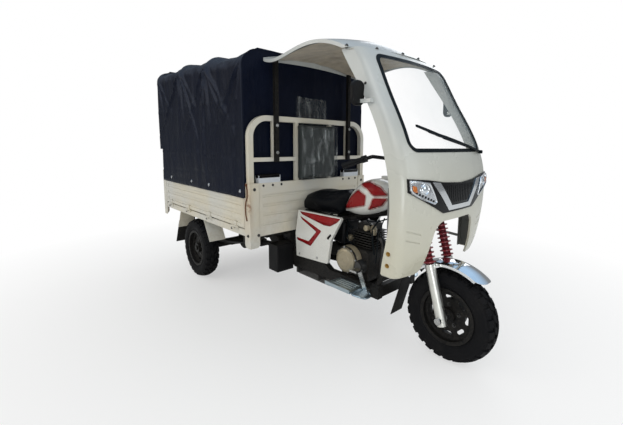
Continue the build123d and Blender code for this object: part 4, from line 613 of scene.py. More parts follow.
def hit(tree, start, way):
    """The first surface point and normal from start along way, or else the nearest ones."""
    at, normal, _, _ = tree.ray_cast(Vector(start), Vector(way).normalized())
    if at is None:
        at, normal, _, _ = tree.find_nearest(Vector(start))
    return at, normal


def from_front(tree, y, z):
    return hit(tree, (FAR, y, z), (-1, 0, 0))


def rounded(outline, radius, steps=4):
    """A closed outline with each corner replaced by a short arc."""
    corners = [Vector(p) for p in outline]
    result = []
    for i, corner in enumerate(corners):
        back, ahead = corners[i - 1] - corner, corners[(i + 1) % len(corners)] - corner
        reach = min(radius, 0.45 * back.length, 0.45 * ahead.length)
        first, last = corner + back.normalized() * reach, corner + ahead.normalized() * reach
        for k in range(steps + 1):
            t = k / steps
            result.append(first * (1 - t) ** 2 + corner * 2 * t * (1 - t) + last * t ** 2)
    return result


def grown(outline, margin):
    """A closed outline moved outward by a margin."""
    points = [Vector(p) for p in outline]
    area = sum(a.x * b.y - b.x * a.y for a, b in zip(points, points[1:] + points[:1]))
    turn = 1 if area > 0 else -1
    result = []
    for i, p in enumerate(points):
        back, ahead = (p - points[i - 1]).normalized(), (points[(i + 1) % len(points)] - p).normalized()
        out = Vector((back.y + ahead.y, -back.x - ahead.x)) * turn
        if out.length > 1e-6:
            out.normalize()
            along = Vector((back.y, -back.x)) * turn
            p = p + out * min(margin / max(out.dot(along), 0.4), 2.2 * margin)
        result.append(p)
    return result


def skin(name, tree, outline, look, finish, lift, thick, cell=0.012):
    """A thin coat laid on a CAD surface. The outline is drawn as it is seen along a way of LOOKS."""
    way = LOOKS[look]
    work = bmesh.new()
    work.faces.new([work.verts.new((p[0], p[1], 0.0)) for p in outline])
    for axis, normal in enumerate((Vector((1, 0, 0)), Vector((0, 1, 0)))):
        low, high = min(p[axis] for p in outline), max(p[axis] for p in outline)
        for step in range(1, int((high - low) / cell) + 1):
            geometry = work.verts[:] + work.edges[:] + work.faces[:]
            at = normal * (low + step * cell)
            bmesh.ops.bisect_plane(work, geom=geometry, plane_co=at, plane_no=normal)
    for vert in work.verts:
        across, up = vert.co.x, vert.co.y
        flat = Vector((0, across, up)) if look == "front" else Vector((across, 0, up))
        at, normal = hit(tree, flat - way * FAR, way)
        if normal.dot(way) > 0:
            normal = -normal
        vert.co = at + normal * lift
    bmesh.ops.recalc_face_normals(work, faces=work.faces)
    if sum((f.normal for f in work.faces), Vector()).dot(way) > 0:
        bmesh.ops.reverse_faces(work, faces=work.faces)
    mesh = bpy.data.meshes.new(name)
    work.to_mesh(mesh)
    work.free()
    thicken(place(bpy.data.objects.new(name, mesh), finish), thick, 1.0)


# Camera, floor and light
def set_camera():
    sin_y, cos_y = math.sin(CAMERA_YAW), math.cos(CAMERA_YAW)
    sin_p, cos_p = math.sin(CAMERA_PITCH), math.cos(CAMERA_PITCH)
    forward = Vector((-sin_y * cos_p, cos_y * cos_p, -sin_p))
    right = Vector((cos_y, sin_y, 0.0))
    up = right.cross(forward)
    tilted = right * math.cos(CAMERA_ROLL) + up * math.sin(CAMERA_ROLL)
    up = tilted.cross(forward)
    data = bpy.data.cameras.new("photo_camera")
    data.sensor_width = SENSOR_MM
    data.lens = FOCAL_PX * SENSOR_MM / IMAGE_W
    data.shift_x = (IMAGE_W / 2 - PRINCIPAL_PX[0]) / IMAGE_W
    data.shift_y = (PRINCIPAL_PX[1] - IMAGE_H / 2) / IMAGE_W
    data.clip_end = 100.0
    camera = bpy.data.objects.new("photo_camera", data)
    camera.matrix_world = Matrix.Translation(CAMERA_AT) @ Matrix((tilted, up, -forward)).transposed().to_4x4()
    SCENE.collection.objects.link(camera)
    SCENE.camera = camera


FLOOR_R, FLOOR_THICK = 14.0, 0.02
FLOOR_GREY = (0.86, 0.86, 0.855)
# Where the floor starts and ends to fade, and its share of white there
FLOOR_FADE = (0.9, 3.6, 0.45, 1.0)


def set_floor():
    """A pale disc that fades to the white of the backdrop."""
    forms = Forms()
    profile = ((FLOOR_R, 0.0), (FLOOR_R, FLOOR_THICK), (0.0, FLOOR_THICK))
    forms.lathe((0, 0, -FLOOR_THICK), (0, 0, 1), profile, 96)
    mesh = forms.mesh("floor")
    floor = bpy.data.objects.new("floor", mesh)
    SCENE.collection.objects.link(floor)
    s = Shade("floor", Base_Color=FLOOR_GREY, Roughness=0.9, Specular_IOR_Level=0.1)
    reach = s.node("ShaderNodeVectorMath", {"operation": "LENGTH"}, Vector=s.place).outputs["Value"]
    fade = s.span(reach, *FLOOR_FADE)
    white = s.node("ShaderNodeEmission", Color=WHITE, Strength=1.0).outputs[0]
    shown = s.mix(s.times(fade, s.seen()), s.bsdf.outputs[0], white)
    s.feed(s.tree.nodes["Material Output"].inputs["Surface"], shown)
    mesh.materials.append(s.material)


# What shiny pieces mirror low down and overhead, as (height, colour), and the soft light all round
MIRRORED = ((0.42, (0.24, 0.25, 0.26)), (0.88, (0.46, 0.66, 0.90)))
AMBIENT = (0.93, 0.97, 1.0)
AMBIENT_POWER = 0.62


def set_world():
    """White to the eye; in reflections grey low down and sky blue overhead."""
    world = bpy.data.worlds.new("studio")
    SCENE.world = world
    world.use_nodes = True
    g = Graph(world.node_tree)
    g.tree.nodes.clear()
    height = g.axes(g.node("ShaderNodeTexCoord").outputs["Generated"])["Z"]
    ramp = g.node("ShaderNodeValToRGB", Fac=height)
    for element, (position, colour) in zip(ramp.color_ramp.elements, MIRRORED):
        element.position = position
        element.color = (*colour, 1.0)
    shown = g.node("ShaderNodeBackground", Color=WHITE).outputs[0]
    sky = g.node("ShaderNodeBackground", Color=ramp.outputs[0]).outputs[0]
    soft = g.node("ShaderNodeBackground", Color=AMBIENT, Strength=AMBIENT_POWER).outputs[0]
    glossy = g.node("ShaderNodeLightPath").outputs["Is Glossy Ray"]
    g.node("ShaderNodeOutputWorld", Surface=g.mix(g.seen(), g.mix(glossy, soft, sky), shown))


# Lamps: name, place, aim, size, power and colour
LAMPS = (
    ("key", (2.6, -3.6, 4.4), (0.4, 0.0, 0.9), 2.6, 40.0, (1.0, 0.96, 0.90)),
    ("front", (5.2, 1.2, 2.6), (1.2, 0.0, 1.0), 2.6, 24.0, (0.92, 0.97, 1.0)),
    ("side", (-2.6, -4.6, 2.8), (-0.8, 0.0, 1.0), 2.6, 42.0, (1.0, 0.92, 0.80)),
    ("fill", (3.3, -2.3, 0.9), (0.2, -0.1, 0.75), 1.2, 16.0, (0.95, 0.98, 1.0)),
    ("far", (-1.0, 4.6, 3.6), (0.0, 0.0, 1.0), 3.0, 50.0, (0.97, 0.98, 1.0)),
)


def set_lamps():
    for name, at, aim, size, power, colour in LAMPS:
        data = bpy.data.lights.new(name, "AREA")
        data.size, data.energy, data.color = size, power, colour
        lamp = bpy.data.objects.new(name, data)
        lamp.location = at
        lamp.rotation_euler = (Vector(aim) - Vector(at)).to_track_quat("-Z", "Y").to_euler()
        SCENE.collection.objects.link(lamp)


SCENE.view_settings.view_transform = "Standard"
set_camera()
set_floor()
set_world()
set_lamps()


# Tyres with block tread over a lowered carcass
TREAD_BLOCKS = 26
TREAD_DEPTH = 0.010
TYRE_STEPS = 120
BEAD_R, BULGE_R = 0.158, 0.214
# Tread blocks on each side: near and far edge, start and stop as shares of the pitch, slant
BLOCKS = ((0.031, 0.0595, 0.0, 0.62, 0.0), (0.004, 0.027, 0.2, 0.82, 2.2))


def make_tyre(name, node, body):
    low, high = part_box(node)
    centre = (low + high) / 2
    crown, half = (high.z - low.z) / 2, (high.y - low.y) / 2
    shoulder = half - 0.009

    def tread_r(across):
        return crown - 0.018 * (across / shoulder) ** 2

    def at(across, radius, angle):
        return centre + Vector((radius * math.cos(angle), across, radius * math.sin(angle)))

    wall = [(0.05, BEAD_R), (0.05, BEAD_R + 0.014), (0.0555, BEAD_R + 0.02), (0.0605, BEAD_R + 0.027)]
    wall += [(0.0596, BEAD_R + 0.030), (0.0632, BEAD_R + 0.038), (half, BULGE_R), (half, BULGE_R + 0.014)]
    wall += [(half - 0.0012, BULGE_R + 0.017), (half - 0.0012, BULGE_R + 0.024)]
    wall += [(half - 0.003, crown - 0.036)]
    profile = wall + [(y, tread_r(y) - TREAD_DEPTH) for y in np.linspace(shoulder, -shoulder, 13)]
    profile += [(-y, r) for y, r in reversed(wall)]
    forms = Forms()
    rings = [[at(y, r, a) for y, r in profile] for a in turns(TYRE_STEPS)]
    forms.grid(rings, closed_rows=True, closed_columns=True)

    def block(near, far, start, stop, slant):
        """One tread block between two lines across the tyre, with drawn-in top edges."""
        ys = [near + (far - near) * k / 3 for k in range(4)]
        trim = (stop - start) * 0.07
        top, foot = [], []
        for share, shift in ((0.0, -trim), (0.5, 0.0), (1.0, trim)):
            angle = start + (stop - start) * share
            top.append([at(y, tread_r(min(abs(y), shoulder)), angle + slant * abs(y)) for y in ys])
            sunk = [(y, tread_r(abs(y)) - TREAD_DEPTH - 0.002) for y in ys]
            foot.append([at(y * 1.02, r, angle + shift + slant * abs(y)) for y, r in sunk])
        forms.grid(top)
        for end in (0, -1):
            forms.grid([top[end], foot[end]])
        for end in (0, -1):
            forms.grid([[row[end] for row in top], [row[end] for row in foot]])

    pitch = 2 * math.pi / TREAD_BLOCKS
    for number in range(TREAD_BLOCKS):
        for side, shift in ((1, 0.0), (-1, pitch / 2)):
            first = number * pitch + shift
            for near, far, start, stop, slant in BLOCKS:
                block(side * near, side * far, first + pitch * start, first + pitch * stop, slant)
    piece = forms.piece(name, "tyre", "tyre", body)
    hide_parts(node)


# Wheel nuts, rim lips and a valve on each rim; the disc faces outward on its side
RIMS = (
    ("front", "front_wheel", -1),
    ("rear_right", "rear_right_wheel", -1),
    ("rear_left", "rear_left_wheel", 1),
)
DISC_FACE = 0.018
NUT_CIRCLE, NUT_R = 0.066, 0.0085
LIP_FACE = 0.0535
LIP = (
    (0.1565, -0.003), (0.166, -0.003), (0.1715, 0.0005), (0.1715, 0.002), (0.1665, 0.0035), (0.1565, 0.002),
)
VALVE_R, VALVE_FACE, VALVE_ANGLE = 0.148, 0.046, 1.1
for name, body, side in RIMS:
    make_tyre(name + "_tread_tyre", name + "_tyre", body)
    low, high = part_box(name + "_tyre")
    centre = (low + high) / 2
    out = Vector((0, side, 0))
    hardware = Forms()
    for angle in turns(5):
        hardware.bolt(centre + out * DISC_FACE + polar(NUT_CIRCLE, angle + 0.3), out, NUT_R)
    hardware.piece(name + "_wheel_nuts", "dull", "steel", body)
    trim = Forms()
    for face in SIDES:
        rows = []
        for radius, along in LIP:
            ring = centre + out * face * (LIP_FACE + along)
            rows.append([ring + polar(radius, angle) for angle in turns(72)])
        trim.grid(rows, closed_rows=True, closed_columns=True)
    hole = centre + out * VALVE_FACE + polar(VALVE_R, VALVE_ANGLE)
    trim.tube([hole - out * 0.02, hole, hole + out * 0.012], 0.0035)
    trim.piece(name + "_rim_lips", "chassis", "black_paint", body)


# Canvas cover
TARP_LOW, TARP_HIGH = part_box("tarp")
TARP_X = (TARP_HIGH.x, -0.482, -1.036, TARP_LOW.x)
TARP_TOPS = (1.965, 2.004, 2.034, 2.042)
TARP_R = 0.130
TARP_CROWN = 0.018
TARP_W = TARP_HIGH.y
TARP_HEM = TARP_LOW.z
TARP_COLUMNS = 150
TARP_ROWS = 230
TARP_SEAMS = (1.585, 1.175)
REAR_CUT_X, REAR_CUT_Z = -1.605, 1.221
EYELET_X = (-1.372, -0.863, -0.496, 0.036)
EYELET_Z = 0.938
SHOULDER_DROP = 0.085
FOLD_MARKS_X = (-1.41, -1.13, -0.86, -0.58, -0.30, -0.03)
FOLD_MARKS_Z = (1.42, 1.06)
FOLD_H = 0.0150
MARK_WIDE, MARK_DEEP = 0.007, 0.0026
SEAM_THICK, SEAM_WIDE = 0.0016, 0.03
HEM_THICK, HEM_WIDE = 0.0018, 0.05
# How deep the cover hangs between two bows, and how far it may go inward on its walls and its roof
ROOF_SAG, WALL_SAG = 0.034, 0.012
TARP_INWARD, ROOF_INWARD = 0.0075, 0.06
# Stretch at each end where the folds die out
END_EASE = 0.12
WALL_CELLS = 70
CANVAS_THICK = 0.0016
EYELET_RING = (
    (0.0055, -0.001), (0.0125, -0.001), (0.0135, 0.0008), (0.0115, 0.0026), (0.0075, 0.0026), (0.0055, 0.001),
)
# Creases that run down from each bow's shoulder: lean, and height as a share of FOLD_H
CREASES = ((-0.95, 0.9), (-0.55, -0.8), (-0.25, 1.0), (0.12, -0.7), (0.45, 1.0), (0.85, 0.8))
CREASE_RISE = 1.45


def drawn_crease(lean, rise):
    """A crease with chance in it: lean, reach, width and height."""
    lean += random.uniform(-0.12, 0.12)
    return lean, random.uniform(0.32, 0.66), random.uniform(0.010, 0.020), CREASE_RISE * rise


random.seed(7)
# Slow waves along the cover: length, shift and strength
FOLD_WAVES = [
    (random.uniform(0.13, 0.36), random.uniform(0, 6.28), random.uniform(0.6, 1.0)) for _ in range(6)
]
FOLD_RAYS = {
    (side, bow): [drawn_crease(lean, rise) for lean, rise in CREASES] for side in SIDES for bow in range(4)
}


def tarp_top(x):
    return float(np.interp(-x, [-v for v in TARP_X], TARP_TOPS))


def tarp_point(x, share):
    """Point and outward normal of the stretched cover at a share of its way from right hem to left hem."""
    top = tarp_top(x)
    side_top = top - TARP_CROWN - TARP_R
    lengths = (side_top - TARP_HEM, math.pi / 2 * TARP_R, TARP_W - TARP_R)
    total = sum(lengths)
    mirror = -1 if share <= 0.5 else 1
    run = (share if share <= 0.5 else 1 - share) * 2 * total
    if run <= lengths[0]:
        return Vector((x, mirror * TARP_W, TARP_HEM + run)), Vector((0, mirror, 0))
    if run <= lengths[0] + lengths[1]:
        angle = (run - lengths[0]) / TARP_R
        out = Vector((0, mirror * math.cos(angle), math.sin(angle)))
        return Vector((x, mirror * (TARP_W - TARP_R), side_top)) + out * TARP_R, out
    y = TARP_W - TARP_R - (run - lengths[0] - lengths[1])
    rise = TARP_CROWN * (1 - (y / (TARP_W - TARP_R)) ** 2)
    return Vector((x, mirror * y, top - TARP_CROWN + rise)), Vector((0, 0, 1))


def bow_slack(x):
    """0 on a bow, 1 midway between two bows."""
    for front, rear in zip(TARP_X, TARP_X[1:]):
        if rear <= x <= front:
            t = (front - x) / (front - rear)
            return 4 * t * (1 - t)
    return 0.0


def tarp_fold(x, z, side):
    """Creases fanning from the bows' shoulders over slow upright waves."""
    lean = x + 0.05 * math.sin(2.1 * z + 3.0 * x + side)
    wave = sum(a * math.sin(2 * math.pi * lean / w + p + side) for w, p, a in FOLD_WAVES) / len(FOLD_WAVES)
    total = 0.8 * wave + 0.7 * ripple(lean * 7.5, z * 1.6, 0.3 + side)
    total += 0.22 * ripple(lean * 19 + z * 6, z * 4.5, 4.1 + side)
    for bow, bow_x in enumerate(TARP_X):
        drop = TARP_TOPS[bow] - SHOULDER_DROP - z
        if drop <= 0:
            continue
        for tilt, reach, width, rise in FOLD_RAYS[side, bow]:
            away = (x - bow_x - tilt * drop) / (width * (0.7 + 1.1 * drop / reach))
            total += rise * math.exp(-away * away) * min(1.0, drop / 0.07) * math.exp(-(drop / reach) ** 2)
    return total


def fold_marks(x, z):
    """Thin set-in lines left from the way the cover was folded away."""
    lines = sum(math.exp(-((x - at) / MARK_WIDE) ** 2) for at in FOLD_MARKS_X)
    lines += sum(math.exp(-((z - at - 0.03 * x) / MARK_WIDE) ** 2) for at in FOLD_MARKS_Z)
    return -MARK_DEEP * lines


def seam_step(z):
    """A doubled strip at each seam and at the hem."""
    lap = sum(SEAM_THICK for seam in TARP_SEAMS if 0.0 <= z - seam <= SEAM_WIDE)
    return lap + (HEM_THICK if z < TARP_HEM + HEM_WIDE else 0.0)


def make_tarp():
    rows = []
    for x in np.linspace(TARP_X[0], TARP_X[-1], TARP_COLUMNS):
        row = []
        slack = bow_slack(x)
        ends = min(1.0, (TARP_X[0] - x) / END_EASE, (x - TARP_X[-1]) / END_EASE)
        for share in np.linspace(0, 1, TARP_ROWS):
            at, out = tarp_point(x, share)
            up = limited((at.z - TARP_HEM) / (tarp_top(x) - TARP_HEM))
            hang = max(0.0, 1 - out.z)
            side = -1 if at.y < 0 else 1
            fold = tarp_fold(x, at.z, side) * FOLD_H * (0.3 + 0.7 * min(1.0, 1.5 * up)) * (0.3 + 0.7 * ends)
            fold += fold_marks(x, at.z) * hang
            sag = -ROOF_SAG * slack * out.z - WALL_SAG * slack * hang * max(0.0, math.sin(math.pi * up))
            crumple = 0.004 * noise.noise(at * 11.0) * out.z
            move = 0.003 * hang + fold * (0.35 + 0.65 * hang) + sag + crumple + seam_step(at.z) * hang
            lifted = at + out * max(move, -TARP_INWARD if hang > 0.5 else -ROOF_INWARD)
            lifted.z -= 0.004 * (1 + math.sin(9.0 * x)) * (1 - up) ** 6
            lifted.z = max(lifted.z, TARP_HEM - 0.003)
            row.append(lifted)
        rows.append(row)
    forms = Forms()
    forms.grid(rows)
    forms.keep(lambda at: at.x >= REAR_CUT_X or at.z >= REAR_CUT_Z)
    return forms.piece("tarp_cover", "canvas", "canvas")


def end_wall(name, cover_tree, x, inward, mouth=None):
    """A wall of the cover across the load box, out to the cover, with an open mouth where one is given."""
    top = tarp_top(x)
    side_top = top - TARP_CROWN - TARP_R
    rows = []
    for i in range(WALL_CELLS + 1):
        z = TARP_HEM + (top - 0.004 - TARP_HEM) * i / WALL_CELLS
        half = TARP_W - 0.003
        if z > side_top:
            half = half - TARP_R + math.sqrt(max(TARP_R ** 2 - (z - side_top) ** 2, 0.0))
        reaches = []
        for side in SIDES:
            start = Vector((x + inward * 0.005, 0.0, z))
            spot, _, _, away = cover_tree.ray_cast(start, Vector((0, side, 0)))
            reaches.append(away if spot is not None and abs(away - half) < 0.04 else half)
        row = []
        for k in range(WALL_CELLS + 1):
            t = 2 * k / WALL_CELLS - 1
            y = reaches[0 if t < 0 else 1] * t
            wave = 0.006 * ripple(y * 6.5, z * 1.6, x) + 0.0025 * ripple(y * 21, z * 5, 2 * x)
            row.append((x + inward * (0.004 + (1 - abs(t) ** 8) * (0.004 + wave)), y, z))
        rows.append(row)
    forms = Forms()
    forms.grid(rows)
    if mouth:
        half_mouth, mouth_top, cut = mouth
        forms.keep(lambda at: at.z > cut and (abs(at.y) >= half_mouth or at.z >= mouth_top))
    return forms.piece(name, "canvas", "canvas")


tarp = make_tarp()
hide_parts("tarp")
tarp_tree = tree_over(tarp)
tarp_front = end_wall("tarp_front_wall", tarp_tree, TARP_X[0], -1)
tarp_tail = end_wall("tarp_tail_wall", tarp_tree, TARP_X[-1], 1, (0.505, 1.765, REAR_CUT_Z))
for sheet_piece in (tarp, tarp_front, tarp_tail):
    thicken(sheet_piece, CANVAS_THICK)
eyelets = Forms()
for side in SIDES:
    for eyelet_x in EYELET_X:
        spot, normal = hit(tarp_tree, (eyelet_x, side * 1.5, EYELET_Z), (0, -side, 0))
        out = Vector((0, side, 0)).lerp(normal if normal.y * side > 0 else -normal, 0.6).normalized()
        eyelets.lathe(spot, out, EYELET_RING, 20)
eyelets_piece = eyelets.piece("tarp_eyelets", "chrome", "steel")


# Stuffed pieces: the CAD solid, drawn in a little and blown up as a cloth bag
def saddle(at):
    """Draws the seat's nose in between the rider's legs and rounds its top and tail."""
    nose = limited((at.x - 0.36) / 0.26)
    nose = nose * nose * (3 - 2 * nose)
    up = limited((at.z - 0.80) / 0.13)
    tail = limited((0.27 - at.x) / 0.12)
    dip = math.exp(-((at.x - 0.43) / 0.10) ** 2)
    at.y *= (1 - 0.42 * nose) * (1 - 0.10 * up * up)
    at.z -= up * (0.022 * (abs(at.y) / 0.13) ** 2.5 * (1 - 0.6 * nose) + 0.026 * tail * tail + 0.018 * dip)
    at.x += 0.012 * up * tail


def baked(piece):
    """Applies the piece's modifiers to its mesh."""
    made = bpy.data.meshes.new_from_object(piece.evaluated_get(bpy.context.evaluated_depsgraph_get()))
    piece.modifiers.clear()
    piece.data = made
    return made


def smoothed(piece, rounds):
    smooth = piece.modifiers.new("smooth", "SMOOTH")
    smooth.iterations, smooth.factor = rounds, 0.5
    return baked(piece)


# Cell of a bag's mesh, how far it starts inside the CAD form, its smoothing, and its simulation
BAG_CELL, BAG_INSIDE = 0.006, 0.004
BAG_ROUNDS, CALM_ROUNDS = 34, 14
BAG_FRAMES, BAG_PRESSURE = 20, 4.0


def stuffed(name, node, finish, cap, form=None):
    """A CAD form as a blown-up bag that moves no further out than cap."""
    mesh = NODES[node].data.copy()
    piece = bpy.data.objects.new(name, mesh)
    SCENE.collection.objects.link(piece)
    work = bmesh.new()
    work.from_mesh(mesh)
    bmesh.ops.remove_doubles(work, verts=work.verts, dist=1e-5)
    work.to_mesh(mesh)
    work.free()
    remesh = piece.modifiers.new("remesh", "REMESH")
    remesh.mode, remesh.voxel_size = "VOXEL", BAG_CELL
    baked(piece)
    soft = smoothed(piece, BAG_ROUNDS)
    for vert, normal in zip(soft.vertices, [v.normal.copy() for v in soft.vertices]):
        vert.co -= normal * BAG_INSIDE
        if form:
            form(vert.co)
    rest = np.array([v.co for v in soft.vertices])
    bag = piece.modifiers.new("cloth", "CLOTH")
    bag.settings.quality = 4
    bag.settings.use_pressure = True
    bag.settings.uniform_pressure_force = BAG_PRESSURE
    bag.settings.effector_weights.gravity = 0.0
    bag.point_cache.frame_start, bag.point_cache.frame_end = 1, BAG_FRAMES
    for step in range(1, BAG_FRAMES + 1):
        SCENE.frame_set(step)
    blown = piece.evaluated_get(bpy.context.evaluated_depsgraph_get()).data
    move = np.array([v.co for v in blown.vertices]) - rest
    reach = np.linalg.norm(move, axis=1, keepdims=True)
    rest = rest + move * np.minimum(1.0, cap / np.maximum(reach, 1e-9))
    piece.modifiers.clear()
    SCENE.frame_set(1)
    soft.vertices.foreach_set("co", rest.astype(np.float32).ravel())
    soft.update()
    smoothed(piece, CALM_ROUNDS)
    SCENE.collection.objects.unlink(piece)
    place(piece, finish)
    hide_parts(node)
    return piece


seat = stuffed("seat_cushion", "seat", "seat", 0.011, saddle)
backrest = stuffed("backrest_cushion", "backrest", "pad", 0.010)

# Beading round the seat's lower edge and the stitched line under its top: height, rise and length
BEADS = ((0.778, 0.0, 0.36), (0.872, 0.02, 0.42))
seat_low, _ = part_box("seat")
seat_tree = tree_over(seat)
beading = Forms()
for side in SIDES:
    for level, rise, length in BEADS:
        line = []
        for step in range(25):
            start = (seat_low.x + 0.03 + length * step / 24, side * 1.0, level + rise * step / 24)
            line.append(hit(seat_tree, start, (0, -side, 0))[0])
        beading.tube(line, 0.0032, 8)
beading.piece("seat_beading", "seat", "seat_cover")

# Packing film over the backrest, drawn back under the arch's top rail and standing up behind it
FILM_HALF = 0.199
FILM_LOW = 1.004
FILM_BACK_X = 0.0945
FILM_TOP = 1.655
FILM_LIFT = 0.0016
FILM_COLUMNS = 44
# Rows down the pad's face, back over its top, and up behind the arch
FACE_ROWS, BACK_ROWS, FLAP_ROWS = 52, 12, 28


def make_film():
    back_tree = tree_over(backrest)
    _, pad_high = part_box("backrest")
    rows = []
    for z in np.linspace(FILM_LOW, pad_high.z - 0.006, FACE_ROWS):
        row = []
        for k in range(FILM_COLUMNS + 1):
            t = 2 * k / FILM_COLUMNS - 1
            y = (FILM_HALF - 0.006) * t
            crease = 0.0035 * ripple(y * 14 + z * 9, z * 8, 1.7)
            crease += 0.004 * abs(ripple(y * 9 - z * 13, z * 6, 6.0))
            crease += 0.0045 * math.exp(-((z - 1.165 + 0.06 * t * t) / 0.011) ** 2)
            spot, _ = hit(back_tree, (1.0, max(-0.185, min(0.185, y)), z), (-1, 0, 0))
            row.append((spot.x + 0.002 + crease, y, z))
        rows.append(row)
    front = [Vector(p) for p in rows[-1]]
    level = pad_high.z + FILM_LIFT
    for step in range(1, BACK_ROWS + 1):
        t = step / BACK_ROWS
        rows.append([(p.x + (FILM_BACK_X - p.x) * t, p.y * (1 - 0.12 * t) + 0.012 * t, level) for p in front])
    last = [Vector(p) for p in rows[-1]]
    for step in range(1, FLAP_ROWS + 1):
        t = step / FLAP_ROWS
        z = level + (FILM_TOP - pad_high.z) * t
        row = []
        for p in last:
            crinkle = 0.0028 * ripple(p.y * 24, z * 17, 3.0)
            sway = 0.010 * ripple(p.y * 6, z * 4, 9.0) * t
            row.append((FILM_BACK_X + crinkle, p.y * (1 - 0.08 * t), z + sway))
        rows.append(row)
    forms = Forms()
    forms.grid(rows)
    film = forms.piece("backrest_film", "film")


make_film()

# Cloth lining stretched below the roof
LINING_HALF, LINING_FRONT_X = 0.438, 0.955
LINING_ROWS, LINING_COLUMNS = 70, 60


def make_lining():
    roof_tree = tree_of("cab_roof")
    low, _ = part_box("cab_roof")
    rows = []
    for i in range(LINING_ROWS + 1):
        x = low.x + 0.016 + (LINING_FRONT_X - low.x) * i / LINING_ROWS
        row = []
        for k in range(LINING_COLUMNS + 1):
            t = 2 * k / LINING_COLUMNS - 1
            y = LINING_HALF * t
            spot, _ = hit(roof_tree, (x, y, 1.70), (0, 0, 1))
            wrinkle = 0.008 * ripple(x * 6 + y * 3, y * 7, 2.0) + 0.004 * ripple(x * 15, y * 12 + x * 6, 5.0)
            row.append((x, y, spot.z - 0.012 - 0.012 * (1 - t ** 4) - abs(wrinkle) * (1 - t ** 6)))
        rows.append(row)
    forms = Forms()
    forms.grid(rows)
    lining = forms.piece("roof_lining", "liner")


make_lining()

# Painted panels on the tank and the side panels, seen from the right and mirrored to the left
tank_tree = tree_of("fuel_tank")
panel_tree = tree_of("side_panels")
TANK_PANELS = {
    "tank_flank": (
        (0.592, 0.824), (0.700, 0.930), (0.778, 0.982), (0.858, 0.955), (0.848, 0.888), (0.700, 0.850),
    ),
    "tank_crest": (
        (0.768, 1.024), (0.862, 1.043), (0.955, 1.014), (1.003, 0.968), (0.919, 0.959), (0.865, 1.000),
    ),
    "tank_cheek": ((0.915, 0.942), (1.003, 0.946), (0.968, 0.900), (0.866, 0.860), (0.897, 0.897)),
}
# Name: corner radius, finish, slot, thickness and outline
SIDE_COATS = {
    "side_top_stripe": (
        0.008, "red", "red_paint", 0.0008,
        ((0.244, 0.770), (0.590, 0.776), (0.690, 0.779), (0.652, 0.744), (0.585, 0.708), (0.520, 0.706),
         (0.272, 0.748)),
    ),
    "side_arrow": (
        0.008, "red", "red_paint", 0.0008,
        ((0.250, 0.733), (0.494, 0.657), (0.373, 0.519), (0.212, 0.536), (0.205, 0.556), (0.350, 0.552),
         (0.438, 0.642), (0.270, 0.709)),
    ),
    "side_vent": (
        0.004, "plastic", "black_plastic", 0.001,
        ((0.552, 0.618), (0.588, 0.655), (0.600, 0.644), (0.566, 0.606)),
    ),
}
COAT_LIFT, COAT_THICK = 0.0003, 0.0006
PANEL_LIFT = 0.0009
LINE_WIDTH = 0.0075
SIDE_CELL = 0.03
for side in ("right", "left"):
    for name, outline in TANK_PANELS.items():
        shape = rounded(outline, 0.014)
        edge = grown(shape, LINE_WIDTH)
        skin(f"{name}_edge_{side}", tank_tree, edge, side, "pink", COAT_LIFT, COAT_THICK)
        skin(f"{name}_{side}", tank_tree, shape, side, "red", PANEL_LIFT, COAT_THICK)
    for name, (radius, finish, slot, thick, outline) in SIDE_COATS.items():
        shape = rounded(outline, radius)
        skin(f"{name}_{side}", panel_tree, shape, side, finish, COAT_LIFT, thick, SIDE_CELL)

# Head lamps: amber corner, projector, row of small lights and a bright frame
lamp_tree = tree_of("headlamps")
LAMP_EDGE = (
    (0.434, 1.105), (0.434, 1.063), (0.424, 1.049), (0.360, 1.018), (0.261, 0.983),
    (0.246, 0.991), (0.275, 1.043), (0.303, 1.087), (0.389, 1.101),
)
AMBER_CORNER = ((0.428, 1.086), (0.428, 1.065), (0.420, 1.054), (0.392, 1.044), (0.402, 1.080))
DOT = ((0.0062, -0.001), (0.0062, 0.002), (0.0045, 0.0034), (0.0, 0.0036))
DOT_STEPS = 6
PROJECTOR_Y, PROJECTOR_Z = 0.342, 1.062
PROJECTOR = ((0.030, -0.001), (0.030, 0.004), (0.0265, 0.0055), (0.0235, 0.003), (0.0225, -0.001))
BULB = [(0.0228 * math.cos(a), 0.0075 * math.sin(a)) for a in (0.0, 0.4, 0.8, 1.2, math.pi / 2)]
lamp_frames, lamp_dots, projectors, bulbs = Forms(), Forms(), Forms(), Forms()
for side in SIDES:
    edge = [from_front(lamp_tree, side * y, z)[0] for y, z in rounded(LAMP_EDGE, 0.012)]
    lamp_frames.tube([spot + Vector((0.001, 0, 0)) for spot in edge], 0.0036, 8, closed=True)
    for step in range(DOT_STEPS + 1):
        t = step / DOT_STEPS
        spot, normal = from_front(lamp_tree, side * (0.400 - 0.128 * t), 1.0455 - 0.049 * t)
        lamp_dots.lathe(spot, normal, DOT, 14)
    spot, normal = from_front(lamp_tree, side * PROJECTOR_Y, PROJECTOR_Z)
    projectors.lathe(spot, normal, PROJECTOR, 28)
    bulbs.lathe(spot, normal, BULB, 28)
    amber = [(side * y, z) for y, z in rounded(AMBER_CORNER, 0.005)]
    amber_name = f"lamp_amber_{'left' if side > 0 else 'right'}"
    skin(amber_name, lamp_tree, amber, "front", "amber", 0.0006, 0.002)
lamp_frames.piece("lamp_frames", "chrome", "chrome")
lamp_dots.piece("lamp_dots", "gloss", "black_plastic")
projectors.piece("lamp_projectors", "chrome", "chrome")
bulbs.piece("lamp_bulbs", "mirror", "lamp_lens")

